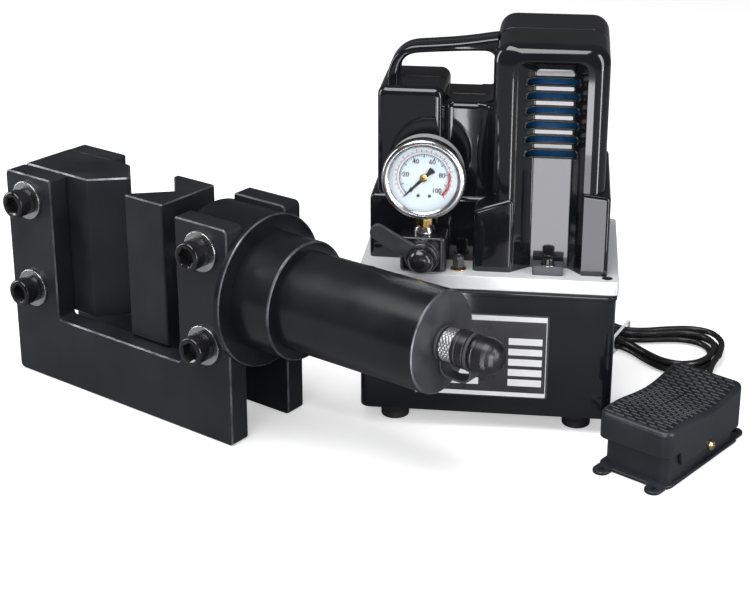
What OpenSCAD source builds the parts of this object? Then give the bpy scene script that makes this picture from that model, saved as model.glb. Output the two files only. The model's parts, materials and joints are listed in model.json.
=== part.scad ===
// Hydraulic busbar bender: bending head, electric oil pump and foot switch, standing as one set.
// The frame is the head's: +X runs along the cylinder from the nose die to the oil coupling, +Z is up,
// z = 0 is the bench, and the origin is the middle of the front side plate's underside.

/* [Side plates of the bending head] */
// Length of each U-shaped side plate
plate_l = 258; // [245:1:280]
// Height of each side plate
plate_h = 190; // [188:1:220]
// Thickness of each side plate
plate_t = 20; // [16:1:24]
// Gap between the two side plates
plate_gap = 52; // [48:1:56]
// Width of each upright of the U
upright_w = 56; // [50:1:60]
// Height of the bar under the throat
bar_h = 61; // [50:1:61]
// Chamfer along the edges of plates and dies
edge = 1.2; // [0.5:0.1:2]

/* [Frame bolts] */
// Diameter of the bolts through the side plates
bolt_d = 16; // [12:1:16]
// Head diameter of those bolts
bolt_head_d = 24; // [22:1:26]
// Height of the bolts above and below the cylinder's axis
bolt_rise = 41; // [40:0.5:44]
// Distance of the bolts from the plate's ends
bolt_inset = 27; // [25:0.5:28]
// Diameter of the flat washers
washer_d = 34; // [30:1:36]
// Thickness of the flat washers
washer_t = 3; // [2:0.5:4]

/* [Dies] */
// Height of the cylinder's axis above the bench
ram_z = 126; // [125.5:0.5:130]
// Straight length of the nose die behind its point
nose_l = 77; // [70:1:80]
// Opening between the nose's point and the bottom of the vee
throat = 52; // [50:1:60]
// Width of the vee die
vee_w = 65; // [60:1:68]
// Depth of the vee
vee_depth = 26.5; // [22:0.5:28]
// Metal behind the bottom of the vee
vee_back = 16.5; // [15:0.5:20]
// Height of both dies
die_h = 128; // [120:1:130]

/* [Cylinder] */
// Diameter of the mounting block
block_d = 129; // [126:1:130]
// Length of the block held between the plates
block_grip = 55; // [53:1:55]
// Length of the block's round shoulder behind the plates
block_shoulder = 6; // [4:1:12]
// Diameter of the collar
collar_d = 99; // [92:1:104]
// Length of the collar
collar_l = 38; // [34:1:44]
// Outer diameter of the barrel
barrel_d = 82; // [80:1:86]
// Room left in the barrel in front of the piston at full stroke
barrel_spare = 51; // [40:1:68]
// Bore of the barrel
bore_d = 66; // [64:0.5:67]
// Diameter of the ram
ram_d = 44; // [40:0.5:45]
// Stroke of the ram
stroke = 45; // [30:1:45]
// Bore inside the ram for the return spring
ram_bore = 30; // [29:0.5:32]

/* [Oil coupling] */
// Diameter of the knurled ring
knurl_d = 27; // [25:1:30]
// Length of the knurled ring
knurl_l = 10.5; // [9:0.5:14]
// Diameter of the dust cap
cap_d = 30; // [28:1:34]
// Length of the dust cap
cap_l = 38; // [34:1:42]
// Drop of the cap's strap below the coupling's axis
strap_drop = 26; // [22:1:32]

/* [Pump tank] */
// Distance of the pump's middle along the cylinder
pump_x = 238; // [236:1:260]
// Distance of the pump's middle behind the front side plate
pump_y = 207; // [205:1:220]
// Turn of the pump about the vertical
pump_yaw = 30; // [28:1:32]
// Width of the oil tank
tank_w = 210; // [208:1:220]
// Depth of the oil tank
tank_d = 150; // [148:1:156]
// Height of the tank's sheet metal
tank_h = 110; // [104:1:130]
// Height of the rubber feet
foot_h = 14; // [10:1:18]
// Thickness of the tank's sheet metal
sheet_t = 2; // [1.5:0.5:3]
// Thickness of the tank's top plate
top_t = 12; // [10:1:14]

/* [Pump cover] */
// Width of the tower over the motor
tower_w = 92; // [90:1:98]
// Height of the tower above the top plate
tower_h = 190; // [186:1:200]
// Distance of the tower's front behind the tank's front
tower_setback = 13; // [9:1:15]
// Height of the left box above the top plate
box_h = 146.6; // [140:0.1:152]
// Height of the middle part above the top plate
middle_h = 132.7; // [126:0.1:138]
// Wall of the moulded cover
cover_wall = 3; // [2:0.5:3.5]
// Width of one cooling slot
slot_w = 43; // [36:1:46]
// Height of one cooling slot
slot_h = 6.5; // [4:0.5:8]
// Spacing of the cooling slots
slot_pitch = 12; // [10:0.5:13]
// Number of cooling slots
slots = 6; // [3:1:7]

/* [Gauge and valve] */
// Outer diameter of the gauge's bezel
gauge_d = 68; // [60:1:70]
// Height of the gauge's middle above the top plate
gauge_rise = 79.5; // [78:0.5:90]
// Depth of the gauge case
gauge_t = 26; // [24:1:30]
// Length of the valve lever from its hub
lever_l = 48; // [40:1:54]
// Width of the valve lever
lever_w = 14; // [10:1:16]

/* [Foot switch] */
// Distance of the foot switch's middle along the cylinder
pedal_x = 420; // [418:1:440]
// Distance of the foot switch's middle behind the front side plate
pedal_y = 198; // [194:1:202]
// Turn of the foot switch about the vertical
pedal_yaw = 86; // [84:1:88]
// Length of the treadle
treadle_l = 118; // [112:1:122]
// Width of the treadle
treadle_w = 66; // [64:1:76]
// Height of the treadle's front edge
treadle_h = 47; // [46:0.5:52]
// Wall of the treadle and its base
treadle_wall = 2.5; // [2:0.5:3]

/* [Foot switch lead] */
// Diameter of the lead
cord_d = 5.5; // [5:0.1:5.6]

/* [Hidden] */

// Clearances
fit = 0.3;
run_fit = 0.05;
seal_fit = 0.15;
bolt_fit = 0.5;

// Head: places along X and across Y
gap_front = plate_t / 2;
gap_rear = gap_front + plate_gap;
mid_y = gap_front + plate_gap / 2;
nose_back = 4 - plate_l / 2;
nose_point = nose_back + nose_l + plate_gap / 2;
die_z = bar_h + 2;
vee_bottom = nose_point + throat;
vee_tip = vee_bottom - vee_depth;
vee_rear = vee_bottom + vee_back;
block_front = plate_l / 2 - block_grip;
block_rear = plate_l / 2 + block_shoulder;
collar_rear = block_rear + collar_l;
piston_l = 20;
barrel_end_t = 14;
piston_gap = 2;
barrel_l = barrel_end_t + piston_gap + piston_l + stroke + barrel_spare;
barrel_rear = collar_rear + barrel_l;
barrel_floor = barrel_rear - barrel_end_t;
front_bolt_x = bolt_inset - plate_l / 2;
rear_bolt_x = plate_l / 2 - bolt_inset;
bolt_head_h = bolt_d;
nut_h = 13;
bolt_l = 2 * washer_t + 2 * plate_t + plate_gap + nut_h + 4;

// Ram and its guides
ram_spigot_d = 24;
ram_spigot_l = 11;
ram_l = barrel_floor - piston_gap - vee_rear;
groove_w = 5;
groove_r = bore_d / 2 - 4;
spring_wall = 40;
guide_d = ram_d + 6;
guide_l = 18;
wiper_d = ram_d + 4;
wiper_l = 5;
collar_spigot_l = 5;
barrel_spigot_l = 15;
block_spigot_r = 42.5;
barrel_spigot_r = 37.5;

// Coupling
neck_l = 4.5;
neck_r = 9.5;
nose_r = 10;
port_r = 9;
cap_gap = 0.4;
cap_start = neck_l + knurl_l + cap_gap;
cap_groove = 12;

// Pump: heights and radii
tank_top = foot_h + tank_h;
gasket_t = 2;
plate_z = tank_top + gasket_t;
deck = plate_z + top_t;
plate_over = 1.5;
tank_r = 8;
corner_pad = 14;
pad_at = [tank_w / 2 - 8, tank_d / 2 - 8];
foot_at = [tank_w / 2 - 28, tank_d / 2 - 20];
foot_r = 14.5;
cover_x = tank_w / 2 - tower_w - 13;
motor_at = [tower_w / 2, 0];
motor_r = 38;
shaft_r = 6;
rotor_r = 24;
flange_h = 14;
motor_h = 150;
eccentric_r = 13;
eccentric_throw = 3;
cam_z = plate_z - 35;
cam_h = 16;
pump_bolt_at = [35, 30];
gasket_lip = 14;
block_size = [2 * (tank_w / 2 - gasket_lip - 1 - cover_x - motor_at[0]), 74, 42];
plunger_r = 5;
plunger_rise = 14;
armature = [54, 110];
commutator = [112, 124];
commutator_r = 15;
stator = [50, 114];
fan_rise = 128;
fan_h = 9;
fan_r = 30;
bearing_r = 13;
bearing_h = 10;
drain_rise = 27;
screw_r = 2.5;
screw_l = 17;
screw_head_r = 4.5;
screw_head_h = 3.8;
screw_sink = 4;
bracket_size = [25, 14, 8];
bracket_x = 36;
vent_at = [-24.6, 13 - tank_d / 2];
label_x = [45.5 - tank_w / 2, tank_w / 2 - 53];
label_z = [16, 91];
label_t = 0.6;

// Gauge and valve
valve_at = [-53.4, 17 - tank_d / 2];
valve_size = [38, 28, 30];
valve_front = valve_at[1] - valve_size[1] / 2;
port_z = deck + 14;
pump_bolt_l = 30;
strainer_at = [20, 14];
strainer_gap = 4;
strainer_r = 15;
strainer_h = 20;
pivot_screw_l = 13;
port_hole_r = 7.5;
port_hole_l = 12;
neck_h = 6;
gauge_z = deck + gauge_rise;
case_r = gauge_d / 2 - 2;
case_back = valve_at[1] + gauge_t / 2 - 1;
dial_front = case_back - gauge_t + 6;
lever_front = valve_front - 9.5;
lever_t = 4;
lever_angle = 149;
spindle_r = 6;

// Cover of the pump: x ranges of its blocks, heights above the deck
tower_front = tank_d / 2 - tower_setback;
tower_r = 12;
box_r = 8;
left_x = 10 - tank_w / 2 - cover_x;
left_right_x = -40;
skirt_h = 56;
skirt_left = left_x - 5.5;
left_front = tank_d / 2 - 37;
middle_front = tank_d / 2 - 45;
skirt_front = tank_d / 2 - 33;
cover_back = tank_d / 2 - 13;
left_back = cover_back - 24;
middle_back = cover_back - 28;
skirt_back = cover_back - 1.5;
relay_at = [left_x + 11, -20];
relay_foot = [36, 44, 6];
relay_h = 44;
bracket_at = [bracket_x, -tower_front - 6];
bracket_hole = bracket_at + [bracket_size[0] / 2, 5.5];
recess_x = [20, 75];
recess_floor_x = [33, 65];
recess_h = 177.5;
recess_depth = 12;
first_slot = 159;
handle_half = 14;

// Foot switch
base_l = treadle_l - 12;
base_w = treadle_w - 2 * treadle_wall - 1;
base_h = 34;
base_floor = 3;
flange_r = 10;
pivot_at = [8, 15];
pivot_r = 2.5;
switch_at = [24, -12];
switch_size = [28, 10, 17];
button_r = 1.6;
button_top = 23;
pusher_gap = 0.5;
spring_at = [36, 13];
spring_top = treadle_h - 5;
ear_r = 7;
ear_x = treadle_l / 2 + 4.5;
ear_y = treadle_w / 2 - 9;
ear_hole_r = 2.6;
gland_r = 4;
gland_z = 13;
gland_end = treadle_l / 2 + 8;

// Lead: the hank's middle, its turn, and the numbers of its looped curve
hank_at = [286, 360];
hank_yaw = 10;
hank_turns = 3.5;
hank_long = [86, 6];
hank_tip = [8, 0.5];
hank_wide = [41, 12.5];
hank_waist = [24, 4.5];
hank_lift = cord_d + 0.7;
tie_t = 0.8;
tie_w = 2.6;
hank_base = tie_t + 0.1;
lead_gland_at = [-28, 165];
mains_gland_at = [-70, 165];
cover_gland_l = 12;

// The lead's free stretches, in order, in the head's frame
lead_points = [
    [172, 265.5, 164], [168.5, 271.5, 160.5], [165.5, 277, 152], [164, 280.5, 139], [163.5, 282.5, 125],
    [163.5, 283.5, 111], [163.5, 284, 97], [163.5, 284.5, 83], [163.5, 285, 69], [163.5, 286, 55],
    [164, 287.5, 42], [165, 290, 30], [167, 294, 19.5], [170.5, 299, 11], [175.5, 304.5, 5.7],
    [181.5, 311, 3.8], [187.5, 319, 3.65], [192, 329, 3.65]
];
tail_points = [
    [380, 366, 9.6], [382.5, 353, 8.2], [386, 341, 6], [391, 330.5, 4.2], [397.5, 321.5, 3.65],
    [404.5, 313, 3.8], [411.5, 304.5, 5], [417.5, 295.5, 7.5], [422, 285.5, 10.6], [424.8, 277, 12.7]
];

function unit(v) = v / norm(v);

// Points of an outline whose corners [x, y, r] are rounded with radius r
function corner(p, q, s, n) =
    q[2] == 0 ? [[q[0], q[1]]] :
    let (c = [q[0], q[1]], u = unit([p[0], p[1]] - c), v = unit([s[0], s[1]] - c),
         half = acos(max(-1, min(1, u * v))) / 2, o = c + unit(u + v) * q[2] / sin(half),
         a = c + u * q[2] / tan(half) - o, b = c + v * q[2] / tan(half) - o,
         a0 = atan2(a[1], a[0]), turn = (atan2(b[1], b[0]) - a0 + 540) % 360 - 180)
    [for (i = [0:n]) o + q[2] * [cos(a0 + turn * i / n), sin(a0 + turn * i / n)]];

function rounded(pts, n = 5) =
    let (m = len(pts)) [for (i = [0:m - 1]) each corner(pts[(i + m - 1) % m], pts[i], pts[(i + 1) % m], n)];

// An outline drawn in by c, for outlines that run counter-clockwise
function drawn_in(p, c) =
    let (m = len(p))
    [for (i = [0:m - 1])
        let (e = unit(p[i] - p[(i + m - 1) % m]), f = unit(p[(i + 1) % m] - p[i]),
             a = [-e[1], e[0]], b = [-f[1], f[0]])
        p[i] + c * (a + b) / (1 + a * b)];

function at_z(p, z) = [for (q = p) [q[0], q[1], z]];
function box_outline(x0, y0, x1, y1, r) = rounded([[x0, y0, r], [x1, y0, r], [x1, y1, r], [x0, y1, r]]);

// A closed body through rings that have the same number of points
module loft(rings) {
    n = len(rings[0]);
    m = len(rings);
    polyhedron(
        points = [for (r = rings) each r],
        faces = concat(
            [[for (i = [0:n - 1]) i]],
            [for (j = [0:m - 2], i = [0:n - 1])
                let (a = j * n + i, b = j * n + (i + 1) % n)
                each [[a, a + n, b], [b, a + n, b + n]]],
            [[for (i = [n - 1:-1:0]) (m - 1) * n + i]]));
}

// A flat body with a chamfer along both faces
module slab(outline, t, c) {
    loft([at_z(drawn_in(outline, c), 0), at_z(outline, c), at_z(outline, t - c),
        at_z(drawn_in(outline, c), t)]);
}

// A flat body whose far face has a rounded edge
module dome(outline, t, r, n = 4) {
    loft(concat([at_z(outline, 0)],
        [for (i = [0:n]) at_z(drawn_in(outline, r * (1 - cos(90 * i / n))), t - r + r * sin(90 * i / n))]));
}

// A cutter for a hole through a slab, whose rims get a chamfer
module notch(outline, t, c) {
    wide = drawn_in(outline, -c - 1);
    loft([at_z(wide, -1), at_z(outline, c), at_z(outline, t - c), at_z(wide, t + 1)]);
}

// Turned bodies
module turned(profile) {
    rotate_extrude($fn = 96) polygon(profile);
}

module ring(r_out, r_in, h) {
    difference() {
        cylinder(r = r_out, h = h, $fn = 72);
        translate([0, 0, -1]) cylinder(r = r_in, h = h + 2, $fn = 72);
    }
}

module hexagon(across, h) {
    cylinder(r = across / 2 / cos(30), h = h, $fn = 6);
}

// A round tube along a path; ref is any direction that the path never takes
function along(p, i) = unit(p[min(i + 1, len(p) - 1)] - p[max(i - 1, 0)]);
function circle_on(c, t, ref, r, n) =
    let (s = unit(cross(t, ref)), u = cross(t, s))
    [for (k = [0:n - 1]) c + r * (cos(360 * k / n) * s + sin(360 * k / n) * u)];

module tube(path, d, sides, ref) {
    loft([for (i = [0:len(path) - 1]) circle_on(path[i], along(path, i), ref, d / 2, sides)]);
}

// Where things stand
module on_axis(x) {
    translate([x, mid_y, ram_z]) rotate([0, 90, 0]) children();
}

module across(x, z, y = 0) {
    translate([x, y, z]) rotate([-90, 0, 0]) children();
}

// Turns a body drawn in x and y upright, so that it runs from y0 back to y0 + t
module upright(y0, t) {
    translate([0, y0 + t, 0]) rotate([90, 0, 0]) children();
}

module at_pump() {
    translate([pump_x, pump_y, 0]) rotate([0, 0, pump_yaw]) children();
}

// The cover, the motor, the valve and the gauge are placed from the tower's left edge
module at_cover() {
    at_pump() translate([cover_x, 0, 0]) children();
}

module at_pedal() {
    translate([pedal_x, pedal_y, 0]) rotate([0, 0, pedal_yaw]) children();
}

module at_bolts() {
    for (x = [front_bolt_x, rear_bolt_x], s = [-1, 1]) {
        translate([x, 0, ram_z + s * bolt_rise]) children();
    }
}

module bolt_holes() {
    at_bolts() across(0, 0, -plate_t)
        cylinder(d = bolt_d + 2 * bolt_fit, h = 4 * plate_t + plate_gap, $fn = 48);
}

// Side plates
module side_plate(y0) {
    half = plate_l / 2;
    open = half - upright_w;
    difference() {
        upright(y0, plate_t) difference() {
            slab(rounded([[-half, 0, 6], [half, 0, 4], [half, plate_h, 5], [-half, plate_h, 5]]), plate_t,
                edge);
            notch(rounded([[-open, bar_h, 3], [open, bar_h, 3], [open, plate_h + 5, 0],
                [-open, plate_h + 5, 0]]),
                plate_t, edge);
        }
        bolt_holes();
    }
}

module side_plate_front() {
    color([0.1, 0.11, 0.12]) side_plate(-plate_t / 2);
}

module side_plate_rear() {
    color([0.1, 0.11, 0.12]) side_plate(gap_rear);
}

module frame_bolts() {
    start = -plate_t / 2 - washer_t;
    color([0.16, 0.16, 0.17]) at_bolts() across(0, 0, start) difference() {
        union() {
            cylinder(d = bolt_d, h = bolt_l, $fn = 48);
            rotate([180, 0, 0]) turned([[0, 0], [bolt_head_d / 2, 0], [bolt_head_d / 2, bolt_head_h - 1.2],
                [bolt_head_d / 2 - 1.2, bolt_head_h], [0, bolt_head_h]]);
        }
        translate([0, 0, -bolt_head_h - 1]) hexagon(bolt_d - 2, bolt_head_h / 2 + 1);
    }
}

module frame_washers() {
    color([0.75, 0.76, 0.78]) at_bolts() {
        across(0, 0, -plate_t / 2 - washer_t) ring(washer_d / 2, bolt_d / 2 + fit, washer_t);
        across(0, 0, gap_rear + plate_t) ring(washer_d / 2, bolt_d / 2 + fit, washer_t);
    }
}

module frame_nuts() {
    color([0.16, 0.16, 0.17]) at_bolts() across(0, 0, gap_rear + plate_t + washer_t) difference() {
        hexagon(bolt_d * 1.5, nut_h);
        translate([0, 0, -1]) cylinder(r = bolt_d / 2 + fit / 2, h = nut_h + 2, $fn = 48);
    }
}

// Dies
module nose_die() {
    outline = rounded([
        [nose_back, -plate_gap / 2, 2], [nose_point - plate_gap / 2, -plate_gap / 2, 2], [nose_point, 0, 3],
        [nose_point - plate_gap / 2, plate_gap / 2, 2], [nose_back, plate_gap / 2, 2]
    ], 3);
    color([0.09, 0.1, 0.11]) difference() {
        translate([0, mid_y, die_z]) slab(outline, die_h, edge);
        bolt_holes();
    }
}

module vee_die() {
    block = rounded([
        [vee_tip, -vee_w / 2, 2], [vee_rear, -vee_w / 2, 2], [vee_rear, vee_w / 2, 2], [vee_tip, vee_w / 2, 2]
    ], 3);
    over = 5;
    vee = rounded([[vee_tip - over, -vee_depth - over, 0], [vee_bottom, 0, 1.5],
        [vee_tip - over, vee_depth + over, 0]], 3);
    color([0.09, 0.1, 0.11]) difference() {
        translate([0, mid_y, die_z]) slab(block, die_h - 1, edge);
        translate([0, mid_y, die_z - 1]) linear_extrude(die_h + 2) polygon(vee);
        on_axis(vee_rear - ram_spigot_l - fit) cylinder(d = ram_spigot_d + 2 * fit, h = 40, $fn = 48);
        across(vee_rear - ram_spigot_l / 2, ram_z, mid_y) cylinder(d = 6 + 2 * fit, h = vee_w, $fn = 24);
    }
}

module die_screw() {
    length = (vee_w - ram_spigot_d) / 2 - 3;
    color([0.2, 0.2, 0.21]) across(vee_rear - ram_spigot_l / 2, ram_z, mid_y + ram_spigot_d / 2 + fit)
        difference() {
        cylinder(d = 6, h = length, $fn = 24);
        translate([0, 0, length - 3]) hexagon(3, 4);
    }
}

// Ram, seals and spring
module ram() {
    r = ram_d / 2;
    piston_r = bore_d / 2 - run_fit;
    at = ram_l - piston_l;
    groove = at + (piston_l - groove_w) / 2;
    color([0.62, 0.63, 0.65]) on_axis(vee_rear) turned([
        [0, -ram_spigot_l], [ram_spigot_d / 2 - 1, -ram_spigot_l], [ram_spigot_d / 2, 1 - ram_spigot_l],
        [ram_spigot_d / 2, 0], [r - 2, 0], [r, 2], [r, at], [piston_r, at], [piston_r, groove],
        [groove_r, groove],
        [groove_r, groove + groove_w], [piston_r, groove + groove_w], [piston_r, ram_l],
        [ram_bore / 2, ram_l], [ram_bore / 2, spring_wall], [0, spring_wall]
    ]);
}

module piston_seal() {
    at = vee_rear + ram_l - (piston_l + groove_w) / 2 + fit;
    color([0.75, 0.45, 0.15]) on_axis(at) ring(bore_d / 2 - seal_fit, groove_r + fit, groove_w - 2 * fit);
}

module return_spring() {
    wire = 3.5;
    coil_r = ram_bore / 2 - 5;
    turns = 16;
    steps = 10;
    start = vee_rear + spring_wall + wire / 2 + fit;
    end = barrel_floor - wire / 2 - fit;
    path = [for (i = [0:turns * steps])
        [start + (end - start) * i / (turns * steps), mid_y + coil_r * cos(360 * i / steps),
            ram_z + coil_r * sin(360 * i / steps)]];
    color([0.45, 0.46, 0.48]) tube(path, wire, 6, [1, 0, 0]);
}

module cylinder_block() {
    color([0.1, 0.11, 0.12]) difference() {
        on_axis(block_front) difference() {
            union() {
                intersection() {
                    cylinder(d = block_d, h = block_grip, $fn = 128);
                    translate([-block_d, -plate_gap / 2, -1]) cube([2 * block_d, plate_gap, block_grip + 2]);
                }
                translate([0, 0, block_grip])
                    turned([[0, 0], [block_d / 2, 0], [block_d / 2, block_shoulder - 1.5],
                    [block_d / 2 - 1.5, block_shoulder], [0, block_shoulder]]);
            }
            translate([0, 0, -1]) cylinder(r = ram_d / 2 + 0.5, h = block_d, $fn = 96);
            translate([0, 0, -1]) cylinder(d = wiper_d, h = wiper_l + 1, $fn = 96);
            translate([0, 0, block_grip + block_shoulder - collar_spigot_l - fit])
                cylinder(r = block_spigot_r + fit, h = block_d, $fn = 96);
        }
        bolt_holes();
    }
}

module wiper_seal() {
    color([0.8, 0.5, 0.2]) on_axis(block_front) turned([
        [ram_d / 2 + seal_fit, 0], [ram_d / 2 + 0.8, 0], [wiper_d / 2 - seal_fit, 1],
        [wiper_d / 2 - seal_fit, wiper_l], [ram_d / 2 + seal_fit, wiper_l]
    ]);
}

module guide_ring() {
    color([0.72, 0.5, 0.2]) on_axis(collar_rear - barrel_spigot_l - fit - guide_l)
        ring(guide_d / 2 - seal_fit, ram_d / 2 + run_fit, guide_l);
}

module gland_collar() {
    c = collar_l;
    seat = c - barrel_spigot_l - fit;
    color([0.1, 0.11, 0.12]) on_axis(block_rear) turned([
        [ram_d / 2 + 0.5, -collar_spigot_l], [block_spigot_r, -collar_spigot_l], [block_spigot_r, 0],
        [collar_d / 2, 0], [collar_d / 2, c - 2.5], [collar_d / 2 - 2.5, c], [barrel_spigot_r + fit, c],
        [barrel_spigot_r + fit, seat], [guide_d / 2, seat], [guide_d / 2, seat - guide_l],
        [ram_d / 2 + 0.5, seat - guide_l]
    ]);
}

module cylinder_barrel() {
    l = barrel_l;
    f = barrel_l - barrel_end_t;
    color([0.1, 0.11, 0.12]) on_axis(collar_rear) turned([
        [bore_d / 2, -barrel_spigot_l], [barrel_spigot_r, -barrel_spigot_l], [barrel_spigot_r, 0],
        [barrel_d / 2, 0],
        [barrel_d / 2, l - 2], [barrel_d / 2 - 2, l], [port_r, l], [port_r, f], [bore_d / 2, f]
    ]);
}

// Oil coupling at the end of the barrel
module coupler_nipple() {
    k = neck_l + knurl_l;
    teeth = 36;
    color([0.78, 0.79, 0.81]) on_axis(barrel_rear) difference() {
        union() {
            turned([
                [0, -12], [port_r - fit, -12], [port_r - fit, 0], [neck_r, 0], [neck_r, neck_l + 1],
                [nose_r, neck_l + 1],
                [nose_r, k + 6], [nose_r - 2, k + 8], [nose_r - 2, k + 20], [nose_r - 3, k + 22], [0, k + 22]
            ]);
            translate([0, 0, neck_l]) linear_extrude(knurl_l) polygon([for (i = [0:2 * teeth - 1])
                (knurl_d / 2 - 0.7 * (i % 2)) * [cos(180 * i / teeth), sin(180 * i / teeth)]]);
        }
        translate([0, 0, -20]) cylinder(r = 3.5, h = 100, $fn = 48);
    }
}

module dust_cap() {
    r = cap_d / 2;
    color([0.04, 0.04, 0.05]) on_axis(barrel_rear + cap_start) turned([
        [nose_r + fit, 0], [r - 0.8, 0], [r, 0.8], [r, cap_groove - 0.6], [r - 2.6, cap_groove],
        [r - 2.6, cap_groove + 3],
        [r - 1, cap_groove + 3.6], [r - 1, cap_l - 11], [r - 2, cap_l - 7], [r - 4.5, cap_l - 3.5],
        [r - 8.5, cap_l - 1], [0, cap_l], [0, 25], [nose_r + fit, 25]
    ]);
}

// Flat strap that keeps the cap on the coupling, hanging in a loop
module cap_strap() {
    groove_at = cap_start + cap_groove + 1.5;
    t = 2;
    w = 12;
    bend = 9;
    left = 0.6;
    right = groove_at + 0.9;
    outer = rounded([[left, 8, 0], [left, -strap_drop, bend], [right, -strap_drop, bend], [right, 8, 0]]);
    inner = rounded([[left + t, 9, 0], [left + t, t - strap_drop, bend - t],
        [right - t, t - strap_drop, bend - t],
        [right - t, 9, 0]]);
    color([0.05, 0.05, 0.06]) {
        on_axis(barrel_rear + left) ring(neck_r + 4.5, neck_r + fit, 2.4);
        on_axis(barrel_rear + groove_at - 1.2) ring(cap_d / 2 + 0.6, cap_d / 2 - 2.6 + fit, 2.4);
        translate([barrel_rear, mid_y + w / 2, ram_z]) rotate([90, 0, 0]) difference() {
            linear_extrude(w) polygon(outer);
            translate([0, 0, -1]) linear_extrude(w + 2) polygon(inner);
            translate([-10, -12.8, -1]) cube([80, 40, w + 2]);
        }
    }
}

// Pump tank
module oil_tank() {
    w = tank_w / 2;
    d = tank_d / 2;
    color([0.05, 0.055, 0.065]) at_pump() difference() {
        union() {
            difference() {
                union() {
                    translate([0, 0, foot_h]) slab(box_outline(-w, -d, w, d, tank_r), tank_h - 3, 1);
                    translate([0, 0, tank_top - 4])
                        linear_extrude(4) polygon(box_outline(-w - 1, -d - 0.5, w + 1, d + 0.5, tank_r));
                }
                translate([0, 0, foot_h + sheet_t]) linear_extrude(tank_h)
                    polygon(box_outline(sheet_t - w, sheet_t - d, w - sheet_t, d - sheet_t,
                        tank_r - sheet_t));
            }
            for (x = [-1, 1], y = [-1, 1]) {
                translate([x * (pad_at[0] - 0.5), y * (pad_at[1] - 0.5), tank_top - corner_pad / 2])
                    cube([corner_pad, corner_pad, corner_pad], center = true);
            }
        }
        for (x = [-1, 1], y = [-1, 1]) {
            translate([x * pad_at[0], y * pad_at[1], tank_top - 12])
                cylinder(d = 2 * screw_r + fit, h = 20, $fn = 24);
            translate([x * foot_at[0], y * foot_at[1], foot_h - 1])
                cylinder(d = 6 + 2 * fit, h = 8, $fn = 24);
        }
        translate([-w - 2, 0, foot_h + drain_rise]) rotate([0, 90, 0]) cylinder(r = 5 + fit, h = 8, $fn = 32);
    }
}

module drain_plug() {
    color([0.2, 0.2, 0.21]) at_pump() translate([-tank_w / 2, 0, foot_h + drain_rise]) rotate([0, -90, 0]) {
        cylinder(r = 7.5, h = 1, $fn = 48);
        translate([0, 0, 1]) hexagon(11, 1.5);
        translate([0, 0, -8]) cylinder(r = 5, h = 8, $fn = 32);
    }
}

module tank_gasket() {
    w = tank_w / 2;
    d = tank_d / 2;
    color([0.03, 0.03, 0.03]) at_pump() translate([0, 0, tank_top]) difference() {
        linear_extrude(gasket_t) polygon(box_outline(-w, -d, w, d, tank_r));
        translate([0, 0, -1]) linear_extrude(gasket_t + 2)
            polygon(box_outline(gasket_lip - w, gasket_lip - d, w - gasket_lip, d - gasket_lip, 3));
        for (x = [-1, 1], y = [-1, 1]) {
            translate([x * pad_at[0], y * pad_at[1], -1]) cylinder(d = 2 * screw_r + fit, h = 4, $fn = 24);
        }
    }
}

module tank_top_plate() {
    w = tank_w / 2 + plate_over;
    d = tank_d / 2 + 1;
    color([0.86, 0.87, 0.88]) at_pump() difference() {
        translate([0, 0, plate_z]) slab(box_outline(-w, -d, w, d, 4), top_t, 0.8);
        translate([cover_x + motor_at[0], motor_at[1], plate_z - 1])
            cylinder(r = 16, h = top_t + 2, $fn = 64);
        translate([cover_x + valve_at[0], valve_at[1], plate_z - 1]) cylinder(r = 4, h = top_t + 2, $fn = 32);
        translate([cover_x + bracket_hole[0], bracket_hole[1], plate_z - 1])
            cylinder(d = 2 * screw_r + fit, h = top_t + 2, $fn = 24);
        for (x = [-1, 1], y = [-1, 1]) {
            translate([x * pad_at[0], y * pad_at[1], plate_z - 1])
                cylinder(d = 2 * screw_r + fit, h = top_t, $fn = 24);
            translate([x * pad_at[0], y * pad_at[1], deck - screw_sink])
                cylinder(r = screw_head_r + fit / 2, h = 6, $fn = 32);
            translate([cover_x + motor_at[0] + x * pump_bolt_at[0], y * pump_bolt_at[1], plate_z - 1])
                cylinder(d = 6 + 2 * fit, h = top_t + 2, $fn = 24);
        }
    }
}

module plate_screw() {
    difference() {
        union() {
            cylinder(r = screw_head_r, h = screw_head_h, $fn = 32);
            translate([0, 0, -screw_l]) cylinder(r = screw_r, h = screw_l, $fn = 24);
        }
        translate([0, 0, 1.5]) hexagon(4, 3);
    }
}

// Five screws alike: four sunk at the plate's corners, one on the cover's bracket
module plate_screws() {
    color([0.2, 0.2, 0.21]) at_pump() {
        for (x = [-1, 1], y = [-1, 1]) {
            translate([x * pad_at[0], y * pad_at[1], deck - screw_sink]) plate_screw();
        }
        translate([cover_x + bracket_hole[0], bracket_hole[1], deck + bracket_size[2]]) plate_screw();
    }
}

module rubber_feet() {
    color([0.06, 0.06, 0.065]) at_pump() for (x = [-1, 1], y = [-1, 1]) {
        translate([x * foot_at[0], y * foot_at[1], 0]) turned([
            [7, 0], [foot_r - 3.5, 0], [foot_r - 2.5, 1], [foot_r - 1, foot_h - 3], [foot_r, foot_h - 1.5],
            [foot_r, foot_h], [3.3, foot_h], [3.3, 7], [7, 7]
        ]);
    }
}

module foot_screws() {
    color([0.7, 0.7, 0.72]) at_pump() for (x = [-1, 1], y = [-1, 1]) {
        translate([x * foot_at[0], y * foot_at[1], 0]) difference() {
            union() {
                translate([0, 0, 3.5]) cylinder(r = 5.5, h = 3.5, $fn = 32);
                cylinder_from(7, foot_h + sheet_t + 1, 3);
                translate([0, 0, foot_h + sheet_t]) hexagon(10, 5);
            }
            translate([-5, -0.6, 3]) cube([10, 1.2, 1.6]);
        }
    }
}

module cylinder_from(z0, z1, r) {
    translate([0, 0, z0]) cylinder(r = r, h = z1 - z0, $fn = 32);
}

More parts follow.
